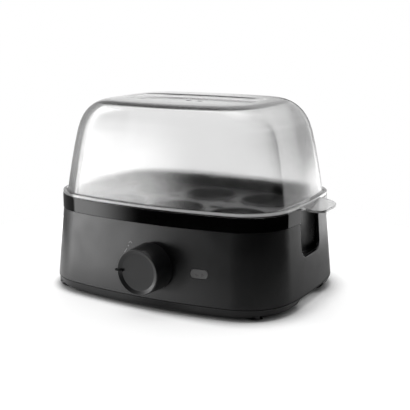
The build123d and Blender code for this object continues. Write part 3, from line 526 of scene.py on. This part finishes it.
def plan_outline(name, half_x, half_y, z):
    """A closed loop of edges in the shape of the cooker's plan, left in edit mode and selected."""
    bpy.ops.mesh.primitive_plane_add(size=2, location=(0, 0, z))
    piece = bpy.context.active_object
    piece.name = name
    bpy.ops.object.transform_apply(location=True, rotation=True, scale=True)
    edit(piece)
    corner_x, corner_y = half_x * (1 - SIDE_BOW), half_y * (1 - FRONT_BOW)
    bpy.ops.mesh.select_all(action="SELECT")
    bpy.ops.transform.resize(value=(corner_x, corner_y, 1), center_override=(0, 0, z))
    bpy.ops.mesh.bevel(affect="VERTICES", offset=CORNER * half_y, segments=CORNER_CUTS)
    bpy.ops.mesh.select_all(action="SELECT")
    bpy.ops.mesh.delete(type="ONLY_FACE")
    pick(piece, "edges", lambda e: abs(middle(e).x) < ON_AXIS)
    bpy.ops.mesh.subdivide(number_cuts=FRONT_CUTS)
    pick(piece, "edges", lambda e: abs(middle(e).y) < ON_AXIS and e.calc_length() > half_y / 2)
    bpy.ops.mesh.subdivide(number_cuts=SIDE_CUTS)
    for vert in bmesh.from_edit_mesh(piece.data).verts:
        x, y = vert.co.x, vert.co.y
        vert.co.x += half_x * SIDE_BOW * (1 - (y / corner_y) ** 2) * x / corner_x
        vert.co.y += half_y * FRONT_BOW * (1 - (x / corner_x) ** 2) * y / corner_y
    bmesh.update_edit_mesh(piece.data)
    bpy.ops.mesh.select_mode(type="EDGE")
    bpy.ops.mesh.select_all(action="SELECT")
    return piece


def grow(stations, start):
    """Extrudes the selected loop from station to station, each a half width, half depth, height."""
    before = start
    for station in stations:
        wide, deep = station[0] / before[0], station[1] / before[1]
        rise = station[2] - before[2]
        bpy.ops.mesh.extrude_region_move(TRANSFORM_OT_translate={"value": (0, 0, rise)})
        bpy.ops.transform.resize(value=(wide, deep, 1), center_override=(0, 0, station[2]))
        before = station


def millimetres(rows):
    """Stations given in millimetres, as metres."""
    return [tuple(number * MM for number in row) for row in rows]


print("plan outline helper ready")

# %% [markdown]
# The lid is one thin clear moulding. Its wall leans in as it rises, rolls over into an almost flat
# top with a shallow dish, and stands on a flange with a raised bead along its edge and a grip tab
# at each end. A single skin with Solidify would be quicker, but a clear piece shows its thickness
# everywhere, and here it changes from place to place. So it is grown as a true double wall: the
# first run of loops goes from the foot of the inner wall out under the flange, over the bead and up
# the outside to the middle of the dish, and the second goes up the inside.

# %% Lid: the outside, from the foot to the dish
FLANGE_X, FLANGE_Y = 88.5, 65.1
flange_edge = [(FLANGE_X, FLANGE_Y, height) for height in (66.0, 66.8, 67.6, 68.4)]
bead_and_groove = [(87.1, 63.7, 68.4), (87.0, 63.6, 67.6), (86.4, 63.0, 67.6), (85.7, 62.3, 68.4)]
outer_wall = [
    (85.2, 61.9, 71.4), (84.4, 61.2, 77.1), (82.6, 59.8, 88.0), (80.4, 58.0, 100.2), (78.0, 56.2, 111.0),
]
outer_shoulder = [
    (75.9, 55.0, 117.0), (73.7, 54.1, 121.0), (71.2, 53.3, 124.2), (68.4, 52.4, 126.8), (65.6, 51.3, 128.8),
    (62.9, 49.9, 130.3), (60.2, 48.1, 131.4), (57.7, 46.0, 132.1), (55.3, 43.4, 132.5),
]
outer_dish = [
    (50.5, 25.0, 132.6), (49.4, 24.1, 132.4), (48.0, 23.0, 131.8), (46.6, 21.9, 131.1), (45.2, 20.9, 130.7),
    (43.0, 19.4, 130.6),
]
lid_foot = millimetres([(83.4, 60.0, 66.0)])[0]
lid_outside = millimetres(flange_edge + bead_and_groove + outer_wall + outer_shoulder + outer_dish)
lid = plan_outline("lid_shell", *lid_foot)
grow(lid_outside, lid_foot)
bpy.ops.mesh.edge_face_add()
print("outer loops:", len(lid_outside))

# %% Lid: the inside
inner_wall = [
    (83.2, 59.8, 68.0), (82.0, 58.9, 77.0), (80.2, 57.5, 88.0), (78.0, 55.7, 100.2), (75.6, 53.9, 111.0),
]
inner_shoulder = [
    (73.4, 52.8, 117.5), (71.0, 52.0, 121.8), (68.0, 51.2, 125.2), (65.0, 50.4, 127.6), (62.5, 49.6, 129.0),
    (60.5, 48.6, 129.8), (58.0, 46.8, 130.2), (55.0, 44.0, 130.4),
]
inner_dish = [
    (51.5, 26.0, 130.4), (50.2, 24.9, 130.2), (48.8, 23.8, 129.6), (47.4, 22.7, 128.9), (46.0, 21.7, 128.6),
    (43.0, 19.4, 128.6),
]
lid_inside = millimetres(inner_wall + inner_shoulder + inner_dish)
pick(lid, "edges", lambda e: e.is_boundary)
grow(lid_inside, lid_foot)
bpy.ops.mesh.edge_face_add()
bpy.ops.mesh.select_all(action="SELECT")
bpy.ops.mesh.normals_make_consistent(inside=False)
print("lid faces:", len(bmesh.from_edit_mesh(lid.data).faces))

# %% [markdown]
# Each grip tab is part of the same moulding: the flange's edge simply runs on outwards and droops
# a little, with two rounded corners. A separate plate joined on with a boolean would leave a seam
# inside the clear plastic. Pulling the flange's own edge faces out, step by step, leaves none.

# %% Lid: the grip tabs
TAB_REACH, TAB_HALF_WIDTH, TAB_CORNER, TAB_STEPS = 103 * MM, 18 * MM, 10 * MM, 10
TAB_ROOT, TAB_STRAIGHT, TAB_DROP = 89.5 * MM, 92.5 * MM, 2 * MM
TAB_FACES_HALF, TAB_FACES_TOP, TAB_FACES_OUT = 18.5 * MM, 67.6 * MM, 87 * MM
tab_slope = TAB_DROP / (TAB_REACH - TAB_ROOT)


def tab_station(step):
    """How far out and how wide the tab is at this step round its rounded corner."""
    angle = step * pi / 2 / TAB_STEPS
    return TAB_REACH - TAB_CORNER * (1 - sin(angle)), TAB_HALF_WIDTH - TAB_CORNER * (1 - cos(angle))


def at_tab_root(face, side):
    """Whether this face of the flange's edge is one that a tab grows from."""
    place = face.calc_center_median()
    return (face.normal.x * side > FACING and abs(place.y) < TAB_FACES_HALF
            and place.z < TAB_FACES_TOP and abs(place.x) > TAB_FACES_OUT)


tab_stations = [(TAB_STRAIGHT, TAB_HALF_WIDTH)] + [tab_station(step) for step in range(1, TAB_STEPS + 1)]
for side in (-1, 1):
    pick(lid, "faces", lambda f: at_tab_root(f, side))
    reach = TAB_ROOT
    for next_reach, next_width in tab_stations:
        outward = next_reach - reach
        bpy.ops.mesh.extrude_region_move(
            TRANSFORM_OT_translate={"value": (side * outward, 0, -tab_slope * outward)})
        moved = [vert for vert in bmesh.from_edit_mesh(lid.data).verts if vert.select]
        width = max(abs(vert.co.y) for vert in moved)
        for vert in moved:
            vert.co.x = side * next_reach
            vert.co.y *= next_width / width
        bmesh.update_edit_mesh(lid.data)
        reach = next_reach
bpy.ops.object.mode_set(mode="OBJECT")
print("tabs pulled out to", TAB_REACH, "m")

# %% [markdown]
# A modelled shape is finished with modifiers, as by hand: a boolean to drill, a bevel for the small
# radius on moulded edges, and then smooth shading. They are applied at once, so that what comes
# after them works on the real mesh.


# %% Applying a modifier, and smooth shading
def modify(piece, kind, **settings):
    """Adds one modifier with these settings and applies it."""
    if bpy.context.mode != "OBJECT":
        bpy.ops.object.mode_set(mode="OBJECT")
    bpy.ops.object.select_all(action="DESELECT")
    piece.select_set(True)
    bpy.context.view_layer.objects.active = piece
    modifier = piece.modifiers.new(kind.lower(), kind)
    for name, value in settings.items():
        setattr(modifier, name, value)
    bpy.ops.object.modifier_apply(modifier=modifier.name)


def soften(piece, width, segments, angle):
    """Small round edges wherever two faces meet more sharply than this angle."""
    modify(piece, "BEVEL", width=width, segments=segments, limit_method="ANGLE", angle_limit=radians(angle))


def smooth(piece, angle=30):
    """Smooth shading that keeps edges sharper than this angle crisp."""
    bpy.ops.object.select_all(action="DESELECT")
    piece.select_set(True)
    bpy.context.view_layer.objects.active = piece
    bpy.ops.object.shade_smooth_by_angle(angle=radians(angle))


print("finishing helpers ready")

# %% [markdown]
# Two steam vents are drilled through the dish. A boolean with a cylinder is just that, a drill, and
# leaves clean round walls in both skins. Then all sharp edges get a small radius, and weighted
# normals keep the flat dish flat in the light beside the vents. Last, the outer faces of the bead
# take the rim finish, whose faint emission is a painted highlight.

# %% Lid: vents, softened edges and finish
VENT_RADIUS, VENT_PLACE, VENT_DEPTH, VENT_Z, VENT_SIDES = 2 * MM, 4.5 * MM, 12 * MM, 131 * MM, 24
LID_RADIUS, LID_SEGMENTS, LID_SHARP = 0.35 * MM, 2, 40
BEAD_LOW, BEAD_HIGH, BEAD_TILT = 66.85 * MM, 68.5 * MM, 0.5

for side in (-1, 1):
    bpy.ops.mesh.primitive_cylinder_add(vertices=VENT_SIDES, radius=VENT_RADIUS, depth=VENT_DEPTH,
                                        location=(side * VENT_PLACE, 0, VENT_Z))
    drill = bpy.context.active_object
    modify(lid, "BOOLEAN", operation="DIFFERENCE", object=drill, solver="EXACT")
    bpy.data.objects.remove(drill)
soften(lid, LID_RADIUS, LID_SEGMENTS, LID_SHARP)
smooth(lid)
modify(lid, "WEIGHTED_NORMAL", keep_sharp=True)
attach(lid, "lid")
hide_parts("lid")
lid.data.materials.append(clear)
lid.data.materials.append(clear_rim_painted_glow)
# The outer faces of the bead take the rim finish, whose glow is a painted highlight.
for face in lid.data.polygons:
    outward = face.normal.x * face.center.x + face.normal.y * face.center.y > 0
    at_bead = BEAD_LOW < face.center.z < BEAD_HIGH and abs(face.normal.z) < BEAD_TILT
    face.material_index = int(outward and at_bead)
print("lid triangles:", sum(len(face.vertices) - 2 for face in lid.data.polygons))

# %% [markdown]
# The housing, its bottom cover, the gloss band and the tray already have their true shape in the
# CAD model, but every edge there is perfectly sharp. A moulded edge always has a small radius, and
# the thin line of light that it catches is what makes plastic look moulded. So each is copied, its
# loose triangles are merged, flat ones are joined, and its sharp edges get a small bevel. Two of
# them are reshaped first. The rim of each finger recess in the housing has a wider radius than the
# other edges.

# %% A wider radius on the rims of the finger recesses
RIM_OUT, RIM_HALF_WIDTH, RIM_LOWEST, RIM_ANGLE = 86 * MM, 16.5 * MM, 30 * MM, radians(50)
RIM_RADIUS, RIM_SEGMENTS, RIM_FACING = 0.9 * MM, 3, 0.95


def at_recess_rim(edge):
    """Whether this edge lies where a finger recess meets the outer end wall."""
    place = middle(edge)
    if abs(place.x) < RIM_OUT or abs(place.y) > RIM_HALF_WIDTH or place.z < RIM_LOWEST:
        return False
    if len(edge.link_faces) != 2:
        return False
    end_walls = [face for face in edge.link_faces if abs(face.normal.x) > RIM_FACING]
    return len(end_walls) == 1 and edge.calc_face_angle() > RIM_ANGLE


def soften_recess_rims(piece):
    """Rounds the rims of both recesses."""
    edit(piece)
    found = pick(piece, "edges", at_recess_rim)
    bpy.ops.mesh.bevel(affect="EDGES", offset=RIM_RADIUS, segments=RIM_SEGMENTS, clamp_overlap=True)
    bpy.ops.object.mode_set(mode="OBJECT")
    print("recess rim edges:", found)


print("rim radius:", RIM_RADIUS, "m")

# %% [markdown]
# The bottom cover's skirt draws in towards the worktop, and under each end it is cut away in a low
# flat arch that reaches almost to the seam. The tuck is a smooth move of points by their height.
# Cutting the arch with a boolean is the sure way, since the skirt has many small faces there. The
# cutter is a block whose two upper edges are rounded first.

# %% The tucked skirt and the arch under each end
SEAM_Z, SKIRT_TUCK, TUCK_CURVE, FRONT_TUCK_SHARE = 7.5 * MM, 4.5 * MM, 1.6, 0.3
SKIRT_X, SKIRT_Y, BODY_HALF_X, BODY_HALF_Y = 79 * MM, 57 * MM, 85 * MM, 65 * MM
ARCH_HALF, ARCH_TOP, ARCH_ROUND, ARCH_SEGMENTS = 22 * MM, 6.9 * MM, 2.5 * MM, 5
ARCH_LENGTH, ARCH_X = 20 * MM, 90 * MM


def tuck_skirt(piece):
    """Moves the outer points below the seam inwards, the more the lower they are."""
    edit(piece)
    for vert in bmesh.from_edit_mesh(piece.data).verts:
        on_skirt = abs(vert.co.x) > SKIRT_X or abs(vert.co.y) > SKIRT_Y
        if vert.co.z < SEAM_Z and on_skirt:
            tuck = SKIRT_TUCK * ((SEAM_Z - vert.co.z) / SEAM_Z) ** TUCK_CURVE
            vert.co.x *= 1 - tuck / BODY_HALF_X
            vert.co.y *= 1 - FRONT_TUCK_SHARE * tuck / BODY_HALF_Y
    bmesh.update_edit_mesh(piece.data)
    bpy.ops.object.mode_set(mode="OBJECT")


def tuck_and_arch(piece):
    """Draws the skirt in towards the worktop and raises the arch under each end."""
    tuck_skirt(piece)
    for side in (-1, 1):
        bpy.ops.mesh.primitive_cube_add(size=1, location=(0, 0, 0))
        cutter = bpy.context.active_object
        edit(cutter)
        bpy.ops.mesh.select_all(action="SELECT")
        bpy.ops.transform.resize(value=(ARCH_LENGTH, 2 * ARCH_HALF, 2 * ARCH_TOP))
        pick(cutter, "edges", lambda e: middle(e).z > 0 and abs(middle(e).x) < ON_AXIS)
        bpy.ops.mesh.bevel(affect="EDGES", offset=ARCH_ROUND, segments=ARCH_SEGMENTS)
        bpy.ops.mesh.select_all(action="SELECT")
        bpy.ops.transform.translate(value=(side * ARCH_X, 0, 0))
        modify(piece, "BOOLEAN", operation="DIFFERENCE", object=cutter, solver="EXACT")
        bpy.data.objects.remove(cutter)


print("arch height:", ARCH_TOP, "m")

# %% [markdown]
# One function makes all the softened copies. It takes the name of the CAD node, the new name, the
# finish and the width of the radius, and it reshapes the copy first where there is a way to. Doing
# each copy by hand would give the same mesh, but a change would then have to be made nine times.

# %% Softened copies of moulded solids
WELD, FLAT_ANGLE, SHARP_ANGLE, SMOOTH_ANGLE = 0.002 * MM, radians(0.3), 38, 36
COPY_SEGMENTS, BODY_RADIUS, INLET_RADIUS, FOOT_RADIUS = 2, 0.3 * MM, 0.2 * MM, 0.15 * MM


def moulded_copy(node, name, material, width, body="base", reshape=None):
    """A merged copy of a CAD node with small radii on its sharp edges, standing in for it."""
    piece = bpy.data.objects.new(name, nodes[node].data.copy())
    scene.collection.objects.link(piece)
    if piece.data.has_custom_normals:
        piece.data.normals_split_custom_set([(0, 0, 0)] * len(piece.data.loops))
    edit(piece)
    bpy.ops.mesh.select_all(action="SELECT")
    bpy.ops.mesh.remove_doubles(threshold=WELD)
    bpy.ops.mesh.dissolve_limited(angle_limit=FLAT_ANGLE)
    bpy.ops.object.mode_set(mode="OBJECT")
    if reshape:
        reshape(piece)
    soften(piece, width, COPY_SEGMENTS, SHARP_ANGLE)
    smooth(piece, SMOOTH_ANGLE)
    modify(piece, "WEIGHTED_NORMAL", keep_sharp=True)
    piece.data.materials.clear()
    piece.data.materials.append(material)
    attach(piece, body)
    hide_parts(node)
    print(name, "faces:", len(piece.data.polygons))
    return piece


moulded_copy("housing", "housing_shell", matte_black, BODY_RADIUS, reshape=soften_recess_rims)
moulded_copy("bottom_cover", "bottom_cover_shell", matte_black, BODY_RADIUS, reshape=tuck_and_arch)

# %% [markdown]
# The gloss band wraps the rim and carries both finger recesses, whose concave walls are duller than
# its polished face. Instead of cutting the band in two, the recess faces take a second finish by
# their place. The tray rides with its own body, and a loop makes the four feet, since they differ
# only in place.

# %% Gloss band, tray, inlet and feet
RECESS_OUT, RECESS_HALF_WIDTH, RECESS_TOP = 78 * MM, 15.4 * MM, 65.5 * MM

band = moulded_copy("gloss_band", "gloss_collar", gloss_black, BODY_RADIUS)
band.data.materials.append(recess_black)
for face in band.data.polygons:
    beside_finger = abs(face.center.x) > RECESS_OUT and abs(face.center.y) < RECESS_HALF_WIDTH
    face.material_index = int(beside_finger and face.center.z < RECESS_TOP)
moulded_copy("egg_tray", "egg_holder", tray_black, BODY_RADIUS, body="tray")
moulded_copy("cord_gland", "cord_inlet", rubber, INLET_RADIUS)
for corner in ("front_left", "front_right", "rear_left", "rear_right"):
    moulded_copy("foot_" + corner, "pad_" + corner, rubber, FOOT_RADIUS)

# %% [markdown]
# The knob is a turned shape: a slightly tapered drum with a rounded front edge, a sloping ring
# inside it and a flat face a little lower. Spinning a profile would do, but growing it is easier to
# follow. It starts as a circle of edges on the knob's own axis and is drawn forwards and inwards,
# one ring of edges at a time, then hollowed from the back in the same way.

# %% Knob: drawing rings
KNOB_X, KNOB_Z, KNOB_SIDES = 7.5 * MM, 30 * MM, 96
knob_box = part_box("knob")
KNOB_FRONT, KNOB_BACK = knob_box[0][1], knob_box[1][1]


def draw_ring(rings, radius, along):
    """Extrudes the selected ring to each next radius and distance in front of the knob's back."""
    for next_radius, next_along in rings:
        step = -(next_along - along) * MM
        bpy.ops.mesh.extrude_region_move(TRANSFORM_OT_translate={"value": (0, step, 0)})
        bpy.ops.transform.resize(value=(next_radius / radius, 1, next_radius / radius),
                                 center_override=(KNOB_X, KNOB_BACK - next_along * MM, KNOB_Z))
        radius, along = next_radius, next_along


print("knob from", round(KNOB_FRONT, 5), "to", round(KNOB_BACK, 5))

# %% Knob
BACK_RADIUS, INLAY_PROUD, HOLLOW_LEFT, BORE_LEFT, KNOB_SMOOTH = 14.1, 0.12, 4.0, 5.0, 40
knob_depth = (KNOB_BACK - KNOB_FRONT) / MM - INLAY_PROUD
drum = [(15.7, 0.0), (15.9, 0.2), (15.8, 1.2), (15.43, knob_depth * 0.5), (15.08, knob_depth - 0.7)]
front_edge = [
    (14.98, knob_depth - 0.3), (14.78, knob_depth - 0.06), (14.55, knob_depth), (14.3, knob_depth - 0.06),
]
dished_face = [
    (12.3, knob_depth - 1.2), (12.1, knob_depth - 1.28), (11.8, knob_depth - 1.3), (6.0, knob_depth - 1.3),
]
hollow_back = [(13.4, knob_depth - HOLLOW_LEFT), (5.4, knob_depth - HOLLOW_LEFT), (5.4, 0.4)]
shaft_bore = [(3.2, 0.4), (3.2, knob_depth - BORE_LEFT)]

bpy.ops.mesh.primitive_circle_add(vertices=KNOB_SIDES, radius=BACK_RADIUS * MM,
                                  location=(KNOB_X, KNOB_BACK, KNOB_Z), rotation=(pi / 2, 0, 0))
knob = bpy.context.active_object
knob.name = "dial_knob"
bpy.ops.object.transform_apply(location=True, rotation=True, scale=True)
edit(knob)
bpy.ops.mesh.select_mode(type="EDGE")
bpy.ops.mesh.select_all(action="SELECT")
draw_ring(drum + front_edge + dished_face, BACK_RADIUS, 0.0)
bpy.ops.mesh.edge_face_add()
pick(knob, "edges", lambda e: e.is_boundary)
draw_ring(hollow_back + shaft_bore, BACK_RADIUS, 0.0)
bpy.ops.mesh.edge_face_add()
bpy.ops.mesh.select_all(action="SELECT")
bpy.ops.mesh.normals_make_consistent(inside=False)
bpy.ops.object.mode_set(mode="OBJECT")
smooth(knob, KNOB_SMOOTH)
knob.data.materials.append(knob_black)
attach(knob, "knob")
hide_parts("knob")
print("knob faces:", len(knob.data.polygons))

# %% [markdown]
# The pointer is a narrow dark strip let into the knob. It runs from the dished face over the front
# edge, stands a little past it and goes part of the way down the side. A block is cut in two at
# that edge, and the back face of its outer half is drawn back along the knob and narrowed.

# %% Pointer
POINTER_INNER, POINTER_OUTER, POINTER_HALF = 10.8 * MM, 16.6 * MM, 0.7 * MM
POINTER_THICK, POINTER_SIDE, POINTER_RADIUS = 1.1 * MM, 6 * MM, 0.2 * MM
POINTER_BEND, SIDE_TAPER = KNOB_X - 14.6 * MM, 0.6
POINTER_SEGMENTS, POINTER_SHARP = 2, 40
pointer_place = (KNOB_X - (POINTER_OUTER + POINTER_INNER) / 2, KNOB_FRONT + POINTER_THICK / 2, KNOB_Z)

bpy.ops.mesh.primitive_cube_add(size=1, location=(0, 0, 0))
pointer = bpy.context.active_object
pointer.name = "pointer_inlay"
edit(pointer)
bpy.ops.mesh.select_all(action="SELECT")
bpy.ops.transform.resize(value=(POINTER_OUTER - POINTER_INNER, POINTER_THICK, 2 * POINTER_HALF))
bpy.ops.transform.translate(value=pointer_place)
bpy.ops.mesh.bisect(plane_co=(POINTER_BEND, 0, 0), plane_no=(1, 0, 0))
pick(pointer, "faces", lambda f: f.normal.y > FACING and f.calc_center_median().x < POINTER_BEND)
bpy.ops.mesh.extrude_region_move(TRANSFORM_OT_translate={"value": (0, POINTER_SIDE - POINTER_THICK, 0)})
bpy.ops.transform.resize(value=(SIDE_TAPER, 1, 1), center_override=(POINTER_BEND, 0, 0))
bpy.ops.mesh.select_all(action="SELECT")
bpy.ops.mesh.normals_make_consistent(inside=False)
bpy.ops.object.mode_set(mode="OBJECT")
soften(pointer, POINTER_RADIUS, POINTER_SEGMENTS, POINTER_SHARP)
smooth(pointer)
pointer.data.materials.append(ink_black)
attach(pointer, "knob")
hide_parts("knob_pointer")
print("pointer faces:", len(pointer.data.polygons))

# %% [markdown]
# Small marks are printed on the housing beside the knob, and a smoked window sits in it. The front
# wall is curved and leans back, so a flat plate would sink in at its middle or stand off at its
# ends. A formula gives the wall's own surface at any width and height, and each plate's points are
# laid on it before the plate gets its thickness.

# %% Plates that follow the front wall
WALL_LOW, WALL_HIGH = (92.5, 70.0, 7.9), (88.5, 65.1, 56.2)
INK_THICK, PLATE_INSET, CORNER_STEPS = 0.05, 0.08, 6


def on_front_wall(x, z):
    """The point of the housing's front face at this width and height, in millimetres."""
    share = (z - WALL_LOW[2]) / (WALL_HIGH[2] - WALL_LOW[2])
    half_x, half_y = (low + share * (high - low) for low, high in zip(WALL_LOW[:2], WALL_HIGH[:2]))
    half_chord, rise = half_x * (1 - SIDE_BOW), half_y * FRONT_BOW
    radius = (half_chord ** 2 + rise ** 2) / (2 * rise)
    return -(half_y - radius + (radius ** 2 - x ** 2) ** 0.5)


def wall_plate(name, material, x, z, long, wide, lean, corner, proud=INK_THICK, deep=INK_THICK):
    """A small plate with rounded corners that follows the curved front wall; all in millimetres."""
    bpy.ops.mesh.primitive_plane_add(size=1, location=(0, 0, 0))
    plate = bpy.context.active_object
    plate.name = name
    edit(plate)
    bpy.ops.mesh.select_all(action="SELECT")
    bpy.ops.transform.resize(value=(long * MM, wide * MM, 1), center_override=(0, 0, 0))
    bpy.ops.mesh.bevel(affect="VERTICES", offset=corner * min(long, wide) * MM, segments=CORNER_STEPS)
    bpy.ops.mesh.inset(thickness=PLATE_INSET * min(long, wide) * MM)
    bpy.ops.mesh.select_all(action="SELECT")
    bpy.ops.transform.rotate(value=-radians(lean), orient_axis="Z", center_override=(0, 0, 0))
    for vert in bmesh.from_edit_mesh(plate.data).verts:
        plate_x, plate_z = x + vert.co.x / MM, z + vert.co.y / MM
        vert.co = (plate_x * MM, (on_front_wall(plate_x, plate_z) - proud) * MM, plate_z * MM)
    bmesh.update_edit_mesh(plate.data)
    bpy.ops.object.mode_set(mode="OBJECT")
    modify(plate, "SOLIDIFY", thickness=(proud + deep) * MM, offset=-1)
    plate.data.materials.append(material)
    return plate


print("front wall at the knob:", round(on_front_wall(KNOB_X / MM, KNOB_Z / MM), 2), "mm")

# %% [markdown]
# The dial's marks are generic ones: an arrow head of two strokes, a dot and a line, in grey ink.
# Ink could be painted by a material, but a thin plate keeps its crisp edge at any distance. Every
# mark is one row of a table, and a loop lays them down.

# %% Dial marks
STROKE_CORNER, ROUND_CORNER = 0.3, 0.48
# each row: name, across, up, length and width in millimetres, lean in degrees, corner share
mark_rows = [
    ("dial_mark_chevron_left", -11.6, 42.9, 1.9, 0.55, 40, STROKE_CORNER),
    ("dial_mark_chevron_right", -10.5, 42.9, 1.9, 0.55, -40, STROKE_CORNER),
    ("dial_mark_dot", -12.6, 40.3, 0.9, 0.9, 0, ROUND_CORNER),
    ("dial_mark_line", -14.6, 37.0, 3.4, 0.5, 58, STROKE_CORNER),
]
for name, *row in mark_rows:
    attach(wall_plate(name, grey_ink, *row), "base")
print("dial marks:", len(mark_rows))

# %% [markdown]
# The indicator window is the same kind of plate, only thick: it stands a little proud of the wall,
# reaches through it to the lamp, and has softly rounded ends and edges.

# %% Indicator window
LENS_X, LENS_Z, LENS_LONG, LENS_WIDE = 40.4, 28.3, 12.1, 5.9
LENS_LEAN, LENS_CORNER, LENS_PROUD, LENS_DEEP = 0, 0.42, 0.2, 4.6
LENS_RADIUS, LENS_SEGMENTS, LENS_SHARP, LENS_SMOOTH = 0.35 * MM, 3, 50, 40
lens = wall_plate("indicator_window", lens_smoke, LENS_X, LENS_Z, LENS_LONG, LENS_WIDE,
                  LENS_LEAN, LENS_CORNER, LENS_PROUD, LENS_DEEP)
soften(lens, LENS_RADIUS, LENS_SEGMENTS, LENS_SHARP)
smooth(lens, LENS_SMOOTH)
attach(lens, "base")
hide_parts("indicator_lens")
print("window faces:", len(lens.data.polygons))

# %% [markdown]
# The pieces inside are seen only when the lid and the tray are lifted or the cooker is opened on a
# bench. Their solids already have all the form they need, so they keep it and only get the finish
# of their material. A node's mesh may take a new material, but its points are never touched.


# %% Dress the solids
def dress(material, *names):
    """Gives CAD nodes this finish."""
    for name in names:
        mesh = nodes[name].data
        mesh.materials.clear()
        mesh.materials.append(material)


dress(white_nylon, "timer_shaft")
dress(lamp_red, "indicator_lamp")
dress(pan_dark, "water_bowl")
dress(pressed_steel, "heating_element", "element_pins", "heater_nuts", "thermostat_bracket")
dress(pressed_steel, "fuse_clip", "heater_screws", "timer_screws", "board_screws")
dress(pressed_steel, "cover_screws", "band_screws")
dress(cast_aluminium, "heater_plate", "thermal_fuse")
dress(cream_nylon, "timer_body", "terminal_block")
dress(silicone, "bowl_seal")
dress(board_green, "indicator_board")
dress(thermoset_brown, "thermostat")
print("finishes in all:", len(bpy.data.materials))
